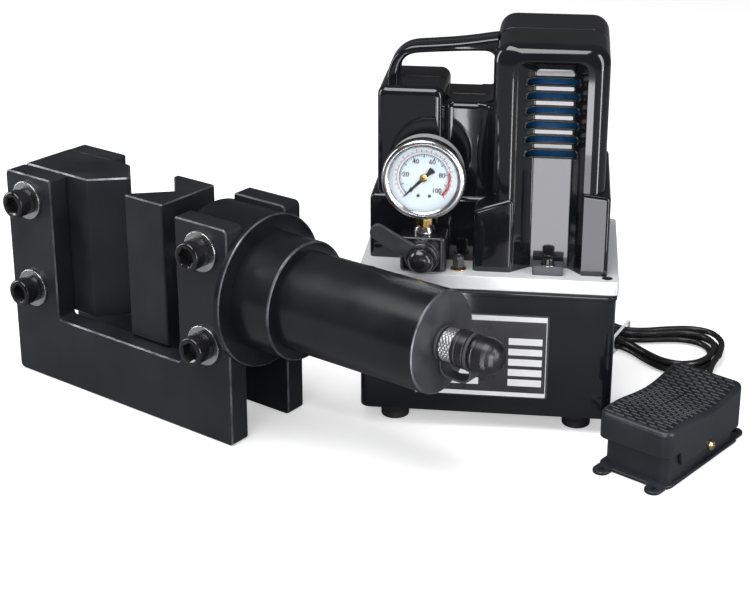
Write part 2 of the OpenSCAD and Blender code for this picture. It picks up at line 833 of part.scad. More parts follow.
module rating_plate() {
    low = foot_h + label_z[0];
    high = foot_h + label_z[1];
    color([0.13, 0.13, 0.14]) at_pump() upright(-tank_d / 2 - label_t, label_t)
        slab(box_outline(label_x[0], low, label_x[1], high, 2), label_t, label_t / 4);
}

// Pump unit under the top plate
module pump_block() {
    color([0.55, 0.56, 0.58]) at_cover() translate([motor_at[0], 0, plate_z - block_size[2]]) difference() {
        translate([-block_size[0] / 2, -block_size[1] / 2, 0]) cube(block_size);
        translate([0, 0, 6]) cylinder(r = eccentric_r + eccentric_throw + 1.5, h = block_size[2], $fn = 64);
        translate([-block_size[0], 0, plunger_rise]) rotate([0, 90, 0])
            cylinder(r = plunger_r + run_fit, h = 2 * block_size[0], $fn = 32);
        for (x = [-1, 1], y = [-1, 1]) {
            translate([x * pump_bolt_at[0], y * pump_bolt_at[1], -1])
                cylinder(d = 6 + fit, h = block_size[2] + 2, $fn = 24);
        }
    }
}

module pump_plungers() {
    reach = eccentric_r + eccentric_throw + run_fit;
    color([0.7, 0.71, 0.73]) at_cover() for (side = [0, 180]) {
        translate([motor_at[0], 0, plate_z - block_size[2] + plunger_rise]) rotate([0, 0, side])
            rotate([0, 90, 0])
            cylinder_from(reach, block_size[0] / 2 - 4, plunger_r);
    }
}

module pump_bolts() {
    color([0.16, 0.16, 0.17]) at_cover() for (x = [-1, 1], y = [-1, 1]) {
        translate([motor_at[0] + x * pump_bolt_at[0], y * pump_bolt_at[1], deck]) difference() {
            union() {
                cylinder(r = 5, h = 6, $fn = 32);
                translate([0, 0, -top_t - pump_bolt_l]) cylinder(r = 3, h = top_t + pump_bolt_l, $fn = 24);
            }
            translate([0, 0, 3]) hexagon(5, 4);
        }
    }
}

module suction_strainer() {
    top = plate_z - block_size[2];
    color([0.7, 0.6, 0.35]) at_cover() translate([motor_at[0] + strainer_at[0], strainer_at[1], 0]) {
        cylinder_from(foot_h + sheet_t + strainer_gap + strainer_h - 2, top, 5);
        translate([0, 0, foot_h + sheet_t + strainer_gap]) cylinder(r = strainer_r, h = strainer_h, $fn = 48);
    }
}

// Motor
module motor_flange() {
    color([0.7, 0.71, 0.73]) at_cover() translate([motor_at[0], motor_at[1], deck]) difference() {
        cylinder(r = motor_r, h = flange_h, $fn = 72);
        translate([0, 0, -1]) cylinder(r = shaft_r + 3, h = flange_h + 2, $fn = 48);
        translate([0, 0, 3]) cylinder(r = bearing_r + fit, h = flange_h, $fn = 48);
    }
}

module motor_case() {
    h = motor_h;
    r = motor_r;
    color([0.06, 0.22, 0.45]) at_cover() translate([motor_at[0], motor_at[1], deck + flange_h]) difference() {
        turned([
            [r - 3, 0], [r, 0], [r, h - 6], [r - 6, h], [shaft_r + 4, h], [shaft_r + 4, h - 4],
            [bearing_r + fit, h - 4], [bearing_r + fit, h - bearing_h - 6],
            [bearing_r + 4, h - bearing_h - 6],
            [bearing_r + 4, h - 3], [r - 8, h - 3], [r - 3, h - 8]
        ]);
        for (i = [0:7]) {
            rotate([0, 0, 45 * i]) translate([r - 16, -3, h - 30]) cube([30, 6, 12]);
        }
    }
}

module motor_stator() {
    color([0.45, 0.3, 0.15]) at_cover() translate([motor_at[0], motor_at[1], deck + stator[0]])
        ring(motor_r - 3 - fit, rotor_r + 1.2, stator[1] - stator[0]);
}

// The turning body: shaft, armature and the eccentric that drives the plungers
module motor_rotor() {
    top = deck + flange_h + motor_h - 3;
    color([0.55, 0.4, 0.25]) at_cover() translate([motor_at[0], motor_at[1], 0]) {
        cylinder_from(cam_z, top, shaft_r);
        cylinder_from(deck + armature[0], deck + armature[1], rotor_r);
        cylinder_from(deck + commutator[0], deck + commutator[1], commutator_r);
        translate([eccentric_throw, 0, 0]) cylinder_from(cam_z, cam_z + cam_h, eccentric_r);
    }
}

module motor_fan() {
    color([0.1, 0.1, 0.11]) at_cover() translate([motor_at[0], motor_at[1], deck + fan_rise]) difference() {
        union() {
            cylinder(r = fan_r / 3, h = fan_h, $fn = 48);
            cylinder(r = fan_r, h = 1.5, $fn = 64);
            for (i = [0:11]) {
                rotate([0, 0, 30 * i]) translate([fan_r / 3 - 2, -0.7, 0])
                    cube([fan_r * 0.7, 1.4, fan_h - 1]);
            }
        }
        translate([0, 0, -1]) cylinder(r = shaft_r + run_fit, h = fan_h + 3, $fn = 48);
    }
}

module motor_bearings() {
    color([0.8, 0.8, 0.82]) at_cover() translate([motor_at[0], motor_at[1], 0]) {
        translate([0, 0, deck + 3]) ring(bearing_r, shaft_r + run_fit, bearing_h);
        translate([0, 0, deck + flange_h + motor_h - bearing_h - 5])
            ring(bearing_r, shaft_r + run_fit, bearing_h);
    }
}

// Moulded cover in a front and a rear half that meet at y = 0
function slant(x0, z0, x1, z1, cut, r) =
    rounded([[x0, z0, 0], [x1, z0, 0], [x1, z1, r], [x0, z1 - cut, r]]);
function block(x0, x1, h, r) =
    rounded([[x0, deck, 0], [x1, deck, 0], [x1, deck + h, r], [x0, deck + h, r]]);

// Middle line of the carry handle, from the left box to the tower:
// share of the way, height above the deck, thickness
handle_start = left_x + 10;
handle_end = 8;
handle_rise = box_h - 14.6;
handle_line = [for (p = [
    [0, 0, 10], [0, 14, 10], [0.011, 22, 9], [0.043, 30, 8], [0.108, 36.5, 7], [0.204, 40, 7],
    [0.376, 41.5, 7], [0.591, 43, 7.5], [0.785, 44.5, 9], [1, 46, 10]
]) [handle_start + p[0] * (handle_end - handle_start), handle_rise + p[1], p[2]]];

// Half of the handle: a flat section with a rounded front, carried along the middle line
module handle(depth, r) {
    n = len(handle_line);
    loft([for (i = [0:n - 1])
        let (p = handle_line[i], a = handle_line[max(i - 1, 0)], b = handle_line[min(i + 1, n - 1)],
             u = unit([b[0] - a[0], b[1] - a[1]]), h = p[2] / 2)
        [for (q = rounded([[-h, 0, 0], [-h, -depth, r], [h, -depth, r], [h, 0, 0]], 4))
            [p[0] + u[1] * q[0], q[1], deck + p[1] - u[0] * q[0]]]]);
}

// One block of the cover: an outline that reaches the given depth from the middle, with a round edge
module cover_part(outline, depth, r) {
    upright(-depth, depth) dome(outline, depth, r);
}

module cover_half(left, middle, skirt, tower, tower_skin) {
    difference() {
        union() {
            cover_part(block(0, tower_w, tower_h, tower_r), tower, 9);
            cover_part(block(left_x, left_right_x, box_h, box_r), left, 7);
            cover_part(block(left_right_x - 12, 12, middle_h, 6), middle, 5);
            cover_part(block(skirt_left, 0, skirt_h, 5), skirt, 4);
            cover_part(slant(tower_w - 22, deck, tower_w + 5, deck + 68, -3, 4), tower + 2.5, 3);
            cover_part(slant(-13, deck, 20, deck + 64, 11, 4), tower + 2.5, 3);
            handle(handle_half, 3);
        }
        hollow(cover_wall, tower_w - cover_wall, tower - tower_skin, tower_h - cover_wall,
            tower_r - cover_wall);
        hollow(left_x + cover_wall, left_right_x - cover_wall, left - cover_wall, box_h - cover_wall,
            box_r - cover_wall);
        hollow(left_x + cover_wall, cover_wall + 1, skirt - cover_wall, skirt_h - cover_wall, 2);
        hollow(left_right_x - cover_wall - 1, cover_wall + 1, middle - cover_wall, middle_h - cover_wall, 2);
    }
}

// Room inside a block of the cover; its corners follow the block's own, so that the wall stays whole
module hollow(x0, x1, depth, h, r) {
    upright(-depth, depth + 1) linear_extrude(depth + 1)
        polygon(rounded([[x0, deck - 1, 0], [x1, deck - 1, 0], [x1, deck + h, r], [x0, deck + h, r]]));
}

// Recess in the tower's front, open at the bottom, with sloping sides
module recess() {
    low = deck - 1;
    top = deck + recess_h;
    wide = rounded([[recess_x[0], low, 0], [recess_x[1], low, 0], [recess_x[1], top, 8],
        [recess_x[0], top, 8]]);
    narrow = rounded([[recess_floor_x[0], low, 0], [recess_floor_x[1], low, 0],
        [recess_floor_x[1], top - 8, 4], [recess_floor_x[0], top - 8, 4]]);
    reach = 6;
    upright(-tower_front - reach, recess_depth + reach)
        loft([at_z(narrow, 0), at_z(wide, recess_depth), at_z(wide, recess_depth + reach)]);
}

module cooling_slots() {
    for (i = [0:slots - 1]) {
        z = deck + first_slot - i * slot_pitch;
        x = (recess_x[0] + recess_x[1]) / 2;
        upright(-tower_front - 10, 40) linear_extrude(40)
            polygon(box_outline(x - slot_w / 2, z - slot_h / 2, x + slot_w / 2, z + slot_h / 2,
                slot_h / 2 - 0.1));
    }
}

module cover_front() {
    color([0.035, 0.037, 0.045]) at_cover() difference() {
        cover_half(left_front, middle_front, skirt_front, tower_front, recess_depth + cover_wall);
        recess();
        cooling_slots();
    }
}

module cover_rear() {
    color([0.035, 0.037, 0.045]) at_cover() difference() {
        union() {
            mirror([0, 1, 0]) cover_half(left_back, middle_back, skirt_back, cover_back, cover_wall);
            for (at = [lead_gland_at, mains_gland_at]) {
                translate([at[0], skirt_back - 1, at[1]]) rotate([-90, 0, 0])
                    turned([[0, 0], [7, 0], [7, 4], [5.5, 5], [5, cover_gland_l + 1],
                        [0, cover_gland_l + 1]]);
            }
        }
        translate([mains_gland_at[0], skirt_back - 6, mains_gland_at[1]]) rotate([-90, 0, 0])
            cylinder(r = 3.2, h = 40, $fn = 32);
    }
}

module cover_bracket() {
    color([0.3, 0.31, 0.33]) at_cover() difference() {
        translate([bracket_at[0], bracket_at[1], deck]) cube(bracket_size);
        translate([bracket_hole[0], bracket_hole[1], deck - 1])
            cylinder(d = 2 * screw_r + fit, h = bracket_size[2] + 2, $fn = 24);
    }
}

module vent_plug() {
    color([0.3, 0.29, 0.22]) at_cover() translate([vent_at[0], vent_at[1], deck]) {
        cylinder(r = 6.5, h = 1.2, $fn = 48);
        translate([0, 0, 1.2]) hexagon(9, 11);
    }
}

module control_relay() {
    color([0.25, 0.26, 0.28]) at_cover() translate([relay_at[0], relay_at[1], deck]) {
        cube(relay_foot);
        translate([2, 2, relay_foot[2]]) cube([relay_foot[0] - 4, relay_foot[1] - 4, relay_h]);
    }
}

// Release valve
module valve_body() {
    size = valve_size;
    low = valve_at[1] - size[1] / 2;
    color([0.05, 0.05, 0.06]) at_cover() difference() {
        union() {
            translate([0, 0, deck]) slab(box_outline(valve_at[0] - size[0] / 2, low,
                valve_at[0] + size[0] / 2, low + size[1], 5), size[2], 2);
        }
        translate([valve_at[0] - size[0] / 2 - 1, valve_at[1], port_z]) rotate([0, 90, 0])
            cylinder(r = port_hole_r, h = port_hole_l + 1, $fn = 48);
        translate([valve_at[0], low - 1, deck + 15]) rotate([-90, 0, 0])
            cylinder(r = spindle_r + run_fit, h = 15, $fn = 48);
        translate([valve_at[0], valve_at[1], deck - 1]) cylinder(r = 3, h = 12, $fn = 24);
    }
}

module valve_neck() {
    color([0.82, 0.82, 0.84]) at_cover() translate([valve_at[0], valve_at[1], deck + valve_size[2]])
        turned([[0, 0], [9, 0], [9, 2], [7.5, neck_h], [0, neck_h]]);
}

module gauge_stem() {
    low = deck + valve_size[2] + neck_h;
    color([0.78, 0.6, 0.3]) at_cover() translate([valve_at[0], valve_at[1], low]) {
        hexagon(13, gauge_z - gauge_d / 2 - low - fit);
        cylinder(r = 4.5, h = gauge_z - case_r - low + 6, $fn = 32);
        translate([-5, -3.5, gauge_z - case_r - low + 3]) cube([10, 7, 8]);
    }
}

// The lever with its hub and spindle; its hub's ball faces the user
module valve_lever() {
    z = deck + 15;
    shape = rounded([[-2, -lever_w / 2, 2], [lever_l, -lever_w / 2, 3], [lever_l, lever_w / 2, 3],
        [-2, lever_w / 2, 2]]);
    color([0.05, 0.05, 0.06]) at_cover() translate([valve_at[0], 0, z]) {
        translate([0, valve_front - fit, 0]) rotate([90, 0, 0]) turned([
            [0, 0], [14.5, 0], [14.5, 4], [13.8, 5.4], [13, 5.4], [13, 8.4], [12, 9.4], [11, 9.4],
            [11, 12], [10.2, 15.5], [8, 18.6], [4.5, 20.6], [0, 21.3]
        ]);
        translate([0, valve_front + 13, 0]) rotate([90, 0, 0]) cylinder(r = spindle_r, h = 14, $fn = 48);
        translate([0, lever_front + lever_t, 0]) rotate([90, 0, 0]) rotate([0, 0, lever_angle])
            slab(shape, lever_t, 0.8);
    }
}

// Pressure gauge
module facing(y) {
    translate([valve_at[0], y, gauge_z]) rotate([90, 0, 0]) children();
}

module gauge_case() {
    t = gauge_t - 2;
    color([0.6, 0.6, 0.62]) at_cover() difference() {
        facing(case_back) turned([
            [0, 0], [case_r - 2, 0], [case_r, 2], [case_r, t], [case_r - 1.5, t], [case_r - 1.5, 2], [0, 2]
        ]);
        translate([valve_at[0], valve_at[1], gauge_z - case_r - 4]) cylinder(r = 4.5 + fit, h = 12, $fn = 32);
    }
}

module gauge_bezel() {
    r = gauge_d / 2;
    color([0.8, 0.8, 0.82]) at_cover() facing(case_back - gauge_t + 8) turned([
        [case_r + fit, 0], [r, 0], [r, 7], [r - 1, 9], [r - 3, 10], [r - 5, 9.6], [r - 6.5, 8], [r - 6.5, 7],
        [case_r + fit, 7]
    ]);
}

module gauge_glass() {
    color([0.85, 0.92, 0.95, 0.3]) at_cover() facing(case_back - gauge_t + 2.6)
        cylinder(r = case_r - 2, h = 1.5, $fn = 72);
}

module gauge_dial() {
    color([0.86, 0.93, 0.97]) at_cover() facing(dial_front + 1) difference() {
        cylinder(r = case_r - 1.5 - fit, h = 1, $fn = 72);
        translate([0, 0, -1]) cylinder(r = 1.25 + run_fit, h = 3, $fn = 32);
    }
}

module gauge_pointer() {
    zero = -45;
    color([0.02, 0.02, 0.02]) at_cover() facing(dial_front - 0.6) rotate([0, 0, zero - 90]) {
        linear_extrude(0.7) polygon([[0, -1.3], [22, -0.25], [23.5, 0], [22, 0.25], [0, 1.3]]);
        linear_extrude(0.7) polygon([[0, -1.3], [0, 1.3], [-5, 1.4], [-10, 3.2], [-11, 0], [-10, -3.2],
            [-5, -1.4]]);
        cylinder(r = 3.3, h = 1, $fn = 32);
        translate([0, 0, -6]) cylinder(r = 1.25, h = 7.8, $fn = 32);
    }
}

// Foot switch
// Height of the treadle's top: high at the front edge, dipping, then a hump at the rear
function tread(x) = let (u = x / treadle_l) treadle_h + 1.5 + 3.2 * u - 3.2 * sin(360 * (u + 0.12));

module pedal_base() {
    l = base_l / 2;
    w = base_w / 2;
    t = treadle_wall;
    color([0.09, 0.1, 0.12]) at_pedal() difference() {
        union() {
            linear_extrude(base_floor)
                polygon(box_outline(-treadle_l / 2, -treadle_w / 2, treadle_l / 2, treadle_w / 2, flange_r));
            for (x = [-1, 1], y = [-1, 1]) {
                translate([x * ear_x, y * ear_y, 0]) cylinder(r = ear_r, h = base_floor, $fn = 48);
            }
            difference() {
                linear_extrude(base_h) polygon(box_outline(-l, -w, l, w, 7));
                translate([0, 0, base_floor]) linear_extrude(base_h)
                    polygon(box_outline(t - l, t - w, l - t, w - t, 7 - t));
            }
            for (s = [-1, 1]) {
                translate([pivot_at[0], s * (w - 7), pivot_at[1]]) rotate([-90 * s, 0, 0])
                    cylinder(r = 6, h = 6, $fn = 32);
            }
            translate([l - 1, 0, gland_z]) rotate([0, 90, 0])
                turned([[0, 0], [6, 0], [6, 2], [gland_r, 3], [gland_r - 0.4, gland_end - l + 1],
                    [0, gland_end - l + 1]]);
        }
        translate([pivot_at[0], -50, pivot_at[1]]) rotate([-90, 0, 0])
            cylinder(r = 2 + fit / 2, h = 100, $fn = 32);
        for (x = [-1, 1], y = [-1, 1]) {
            translate([x * ear_x, y * ear_y, -1]) cylinder(r = ear_hole_r, h = 10, $fn = 32);
        }
    }
}

// The treadle: a shell with a wavy top, deep sides and a shorter apron at the front
module pedal_treadle() {
    l = treadle_l / 2;
    w = treadle_w / 2;
    t = treadle_wall;
    xs = [for (i = [0:16]) -l - 2 + i * (treadle_l + 4) / 16];
    top = [for (x = xs) [x, tread(x)]];
    under = [for (x = xs) [x, tread(x) - t]];
    color([0.12, 0.13, 0.15]) at_pedal() difference() {
        union() {
            difference() {
                intersection() {
                    linear_extrude(90) polygon(box_outline(-l, -w, l, w, 8));
                    upright(-w - 1, 2 * w + 2) linear_extrude(2 * w + 2)
                        polygon(concat([[-l - 2, 14], [l + 2, 14]],
                        [for (i = [16:-1:0]) top[i]]));
                }
                intersection() {
                    translate([0, 0, 1]) linear_extrude(90)
                        polygon(box_outline(t - l, t - w, l - t, w - t, 8 - t));
                    upright(-w - 1, 2 * w + 2) linear_extrude(2 * w + 2)
                        polygon(concat([[-l - 2, 0], [l + 2, 0]],
                        [for (i = [16:-1:0]) under[i]]));
                }
                translate([-l - 5, -w - 5, 0]) cube([27, 2 * w + 10, 27]);
                translate([l - 8, -7, 0]) cube([20, 14, 24]);
            }
            translate([switch_at[0] - 3, switch_at[1] - 3, button_top + pusher_gap])
                cube([6, 6, treadle_h - 2 - button_top - pusher_gap]);
            translate([spring_at[0], spring_at[1], spring_top]) cylinder(r = 6, h = 4.5, $fn = 32);
        }
        for (s = [-1, 1]) {
            translate([pivot_at[0], s * w, pivot_at[1]]) rotate([90, 0, 0])
                cylinder(r = pivot_r + run_fit, h = 12, center = true, $fn = 32);
        }
    }
}

module pedal_screws() {
    w = treadle_w / 2;
    color([0.8, 0.68, 0.3]) at_pedal() for (s = [-1, 1]) {
        translate([pivot_at[0], s * (w + fit), pivot_at[1]]) rotate([-90 * s, 0, 0]) difference() {
            union() {
                turned([[0, 0], [4.3, 0], [4.1, 1.4], [2.6, 2.4], [0, 2.6]]);
                translate([0, 0, -(treadle_wall + fit + 0.4)])
                    cylinder(r = pivot_r, h = treadle_wall + fit + 0.4, $fn = 32);
                translate([0, 0, -pivot_screw_l]) cylinder(r = 2, h = pivot_screw_l, $fn = 32);
            }
            translate([-3, -0.4, 1.4]) cube([6, 0.8, 2]);
            translate([-0.4, -3, 1.4]) cube([0.8, 6, 2]);
        }
    }
}

module treadle_spring() {
    wire = 1.4;
    coil_r = 5;
    turns = 7;
    steps = 10;
    low = base_floor + wire / 2 + 0.1;
    high = spring_top - wire / 2 - fit;
    path = [for (i = [0:turns * steps])
        [spring_at[0] + coil_r * cos(360 * i / steps), spring_at[1] + coil_r * sin(360 * i / steps),
            low + (high - low) * i / (turns * steps)]];
    color([0.6, 0.6, 0.62]) at_pedal() tube(path, wire, 6, [0, 0, 1]);
}

module foot_microswitch() {
    size = switch_size;
    color([0.05, 0.05, 0.05]) at_pedal() translate([switch_at[0], switch_at[1], base_floor]) difference() {
        translate([-18, -size[1] / 2, 0]) cube(size);
        translate([0, 0, size[2] - 9]) cylinder(r = button_r + run_fit, h = 10, $fn = 32);
    }
}

module switch_button() {
    color([0.5, 0.12, 0.1]) at_pedal() translate([switch_at[0], switch_at[1], 0])
        cylinder_from(base_floor + switch_size[2] - 6, button_top, button_r);
}

// Foot switch lead
function pump_point(x, y, z) =
    [pump_x + x * cos(pump_yaw) - y * sin(pump_yaw), pump_y + x * sin(pump_yaw) + y * cos(pump_yaw), z];
function pedal_point(x, y, z) =
    [pedal_x + x * cos(pedal_yaw) - y * sin(pedal_yaw), pedal_y + x * sin(pedal_yaw) + y * cos(pedal_yaw), z];

// The hank's curve at q turns: it spirals in on the lower layer and out again on the upper one
function hank_step(q) =
    let (h = hank_turns / 2) q <= h - 0.25 ? q : q >= h + 0.25 ? hank_turns - q : h - 0.25;
function hank_rise(q) =
    let (h = hank_turns / 2, u = (q - h + 0.25) / 0.5) u <= 0 ? 0 : u >= 1 ? 1 : (1 - cos(180 * u)) / 2;
function hank_point(q) =
    let (s = hank_step(q), a = 180 + 360 * q,
         x = (hank_long[0] - hank_long[1] * s) * cos(a) + (hank_tip[0] - hank_tip[1] * s) * cos(3 * a),
         y = -(hank_wide[0] - hank_wide[1] * s) * sin(a) - (hank_waist[0] - hank_waist[1] * s) * sin(3 * a))
    [hank_at[0] + x * cos(hank_yaw) - y * sin(hank_yaw), hank_at[1] + x * sin(hank_yaw) + y * cos(hank_yaw),
        hank_base + cord_d / 2 + hank_lift * hank_rise(q)];
hank_rings = 24;
hank_path = [for (i = [0:hank_turns * hank_rings]) hank_point(i / hank_rings)];

// Least gap between one ring of the hank and the runs that are more than a third of a turn away
hank_gap = min([for (i = [0:len(hank_path) - 10], j = [i + 9:len(hank_path) - 2])
    let (p = hank_path[i], a = hank_path[j], b = hank_path[j + 1], u = b - a,
         f = max(0, min(1, (p - a) * u / (u * u))))
    norm(p - a - f * u)]) - cord_d;
echo(hank_gap = hank_gap);

module foot_lead() {
    gland = pump_point(cover_x + lead_gland_at[0], skirt_back + cover_gland_l, lead_gland_at[1]);
    out = pump_point(cover_x + lead_gland_at[0], skirt_back + cover_gland_l + cord_d, lead_gland_at[1]);
    into = pedal_point(gland_end, 0, gland_z);
    near = pedal_point(gland_end + cord_d, 0, gland_z);
    start = hank_path[0];
    end = hank_path[len(hank_path) - 1];
    across_hank = [-sin(hank_yaw), cos(hank_yaw), 0] * cord_d;
    color([0.04, 0.04, 0.045]) {
        tube(concat([gland, out], lead_points, [start - across_hank, start]), cord_d, 8, unit([1, 1, 1]));
        tube(concat([end, end - across_hank], tail_points, [near, into]), cord_d, 8, [0, 0, 1]);
    }
}

module lead_hank() {
    color([0.04, 0.04, 0.045]) tube(hank_path, cord_d, 6, [0, 0, 1]);
}

module hank_tie() {
    half = hank_wide[0] - hank_waist[0] - (hank_wide[1] - hank_waist[1]) * 0.25 + cord_d / 2 + 2 * fit;
    top = hank_base + hank_lift + cord_d + fit;
    color([0.92, 0.92, 0.94]) translate([hank_at[0], hank_at[1], 0]) rotate([0, 0, hank_yaw])
        translate([-tie_w / 2, 0, 0]) rotate([90, 0, 90]) difference() {
            linear_extrude(tie_w) polygon(box_outline(-half - tie_t, 0, half + tie_t, top + tie_t, 3));
            translate([0, 0, -1]) linear_extrude(tie_w + 2)
                polygon(box_outline(-half, tie_t, half, top, 2.2));
        }
}

side_plate_front();
side_plate_rear();
frame_bolts();
frame_washers();
frame_nuts();
nose_die();
vee_die();
die_screw();
ram();
piston_seal();
return_spring();
cylinder_block();
wiper_seal();
guide_ring();
gland_collar();
cylinder_barrel();
coupler_nipple();
dust_cap();
cap_strap();
oil_tank();
drain_plug();
tank_gasket();
tank_top_plate();
plate_screws();
rubber_feet();
foot_screws();
rating_plate();
pump_block();
pump_plungers();
pump_bolts();
suction_strainer();
motor_flange();
motor_case();
motor_stator();
motor_rotor();
motor_fan();
motor_bearings();
cover_front();
cover_rear();
cover_bracket();
vent_plug();
control_relay();
valve_body();
valve_neck();
valve_lever();
gauge_stem();
gauge_case();
gauge_bezel();
gauge_glass();
gauge_dial();
gauge_pointer();
pedal_base();
pedal_treadle();
pedal_screws();
treadle_spring();
foot_microswitch();
switch_button();
foot_lead();
lead_hank();
hank_tie();
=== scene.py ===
"""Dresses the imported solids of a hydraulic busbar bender: bending head, electric oil pump, foot switch and lead.
Lengths are millimetres in the frame of the unit that a piece belongs to; the camera and the lamps are in metres."""
import json
import math

import bmesh
import bpy
from mathutils import Matrix, Vector

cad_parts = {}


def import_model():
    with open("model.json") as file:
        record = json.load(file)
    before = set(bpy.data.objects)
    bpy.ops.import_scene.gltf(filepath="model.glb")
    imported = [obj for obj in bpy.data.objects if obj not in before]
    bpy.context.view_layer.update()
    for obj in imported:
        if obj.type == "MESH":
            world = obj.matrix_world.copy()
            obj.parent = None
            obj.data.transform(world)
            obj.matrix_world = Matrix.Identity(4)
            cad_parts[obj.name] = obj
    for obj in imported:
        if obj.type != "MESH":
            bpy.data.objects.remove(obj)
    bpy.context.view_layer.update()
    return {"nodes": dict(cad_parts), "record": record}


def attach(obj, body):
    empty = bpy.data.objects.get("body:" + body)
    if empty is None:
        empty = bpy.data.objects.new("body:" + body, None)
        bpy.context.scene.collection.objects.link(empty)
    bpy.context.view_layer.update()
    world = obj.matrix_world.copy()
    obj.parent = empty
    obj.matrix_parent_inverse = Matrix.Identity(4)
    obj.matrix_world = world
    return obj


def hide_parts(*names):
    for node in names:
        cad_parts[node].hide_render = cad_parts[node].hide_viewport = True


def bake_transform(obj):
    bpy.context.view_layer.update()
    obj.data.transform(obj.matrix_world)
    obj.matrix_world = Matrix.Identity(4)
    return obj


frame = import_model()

MM = 0.001
TINY_R = 1e-4                   # stands for the axis, where a ring would close to a point


# ---------------------------------------------------------------- frames of the three units
def turn(degrees, axis):
    return Matrix.Rotation(math.radians(degrees), 4, axis)


def shift(x, y, z):
    return Matrix.Translation((x, y, z))


HEAD = Matrix.Identity(4)
PUMP = shift(238, 207, 0) @ turn(30, "Z")
PEDAL = shift(420, 198, 0) @ turn(86, "Z")
RAM_Y, RAM_Z = 36, 126          # the cylinder's axis
DECK = 138                      # top of the pump's aluminium plate


def along_x(x, y=RAM_Y, z=RAM_Z):
    """Local Z runs along the head's +X."""
    return shift(x, y, z) @ turn(90, "Y")


def to_front(x, y, z):
    """Local Z comes out to the front (-Y), local Y is up."""
    return shift(x, y, z) @ turn(90, "X")


def to_back(x, y, z):
    return shift(x, y, z) @ turn(-90, "X")


# ---------------------------------------------------------------- camera
CAMERA_AT = (0.937, -0.8905, 0.637)
CAMERA_AZIMUTH, CAMERA_ELEVATION = -36.92, 19.5
SENSOR, FOCAL_LENGTH, SHIFT_DOWN = 36, 77.76, -0.1333


def show(name, data):
    """An object of that name in the scene."""
    obj = bpy.data.objects.new(name, data)
    bpy.context.scene.collection.objects.link(obj)
    return obj


def look_along(obj, way):
    obj.rotation_euler = Vector(way).to_track_quat("-Z", "Y").to_euler()


def set_camera():
    a, e = math.radians(CAMERA_AZIMUTH), math.radians(CAMERA_ELEVATION)
    lens = bpy.data.cameras.new("camera")
    lens.sensor_width, lens.lens, lens.shift_y, lens.clip_end = SENSOR, FOCAL_LENGTH, SHIFT_DOWN, 100
    camera = show("camera", lens)
    camera.location = CAMERA_AT
    look_along(camera, (math.sin(a) * math.cos(e), math.cos(a) * math.cos(e), -math.sin(e)))
    bpy.context.scene.camera = camera


set_camera()


# ---------------------------------------------------------------- outlines
def quarter(steps):
    """Angles that go evenly from 0 to a right angle."""
    return [math.pi / 2 * i / steps for i in range(steps + 1)]


def corner(before, at, after, steps):
    """Points that round one corner (x, y, radius) of an outline."""
    c, r = Vector(at[:2]), at[2]
    u, v = (Vector(before[:2]) - c).normalized(), (Vector(after[:2]) - c).normalized()
    half = math.acos(max(-1, min(1, u.dot(v)))) / 2
    o = c + (u + v).normalized() * r / math.sin(half)
    a, b = c + u * r / math.tan(half) - o, c + v * r / math.tan(half) - o
    start = math.atan2(a.y, a.x)
    swing = (math.atan2(b.y, b.x) - start + 3 * math.pi) % math.tau - math.pi
    return [(o.x + r * math.cos(start + swing * i / steps), o.y + r * math.sin(start + swing * i / steps))
            for i in range(steps + 1)]


def rounded(corners, steps=6):
    n = len(corners)
    return [p for i in range(n) for p in corner(corners[i - 1], corners[i], corners[(i + 1) % n], steps)]


def box_outline(x0, y0, x1, y1, r, steps=6):
    return rounded([(x0, y0, r), (x1, y0, r), (x1, y1, r), (x0, y1, r)], steps)


def drawn_in(outline, c):
    """The outline moved inwards by c; it runs counter-clockwise."""
    made, n = [], len(outline)
    for i in range(n):
        p = Vector(outline[i])
        e, f = (p - Vector(outline[i - 1])).normalized(), (Vector(outline[(i + 1) % n]) - p).normalized()
        a, b = Vector((-e.y, e.x)), Vector((-f.y, f.x))
        made.append(tuple(p + c * (a + b) / (1 + a.dot(b))))
    return made


def circle(r, steps):
    return [(r * math.cos(math.tau * i / steps), r * math.sin(math.tau * i / steps)) for i in range(steps)]


def hexagon(across, steps):
    """A hexagon given by its flats, with as many points as a circle of that many steps."""
    points = []
    for i in range(steps):
        a = math.tau * i / steps
        r = across / 2 / math.cos((a + math.pi / 6) % (math.pi / 3) - math.pi / 6)
        points.append((r * math.cos(a), r * math.sin(a)))
    return points


def divided(outline, parts_of):
    """A closed outline with extra points: parts_of tells how many parts its side i, from a to b, gets."""
    made = []
    for i, a in enumerate(outline):
        b = outline[(i + 1) % len(outline)]
        parts = parts_of(i, a, b)
        made += [(a[0] + (b[0] - a[0]) * k / parts, a[1] + (b[1] - a[1]) * k / parts) for k in range(parts)]
    return made


def at_height(outline, z):
    return [(x, y, z) for x, y in outline]


# ---------------------------------------------------------------- forms
class Form:
    """Points and faces in millimetres; a face's mark picks one of the piece's finishes."""

    def __init__(self, points=(), faces=(), marks=None):
        self.points, self.faces = [tuple(p) for p in points], list(faces)
        self.marks = marks or [0] * len(self.faces)

    def put(self, other, place=None):
        base = len(self.points)
        self.points += [tuple(place @ Vector(p)) if place else p for p in other.points]
        self.faces += [tuple(base + i for i in f) for f in other.faces]
        self.marks += other.marks
        return self

    def placed(self, place):
        return Form().put(self, place)

    def marked(self, mark):
        self.marks = [mark] * len(self.faces)
        return self


def together(*forms):
    whole = Form()
    for form in forms:
        whole.put(form)
    return whole


def repeated(form, places):
    whole = Form()
    for place in places:
        whole.put(form, place)
    return whole


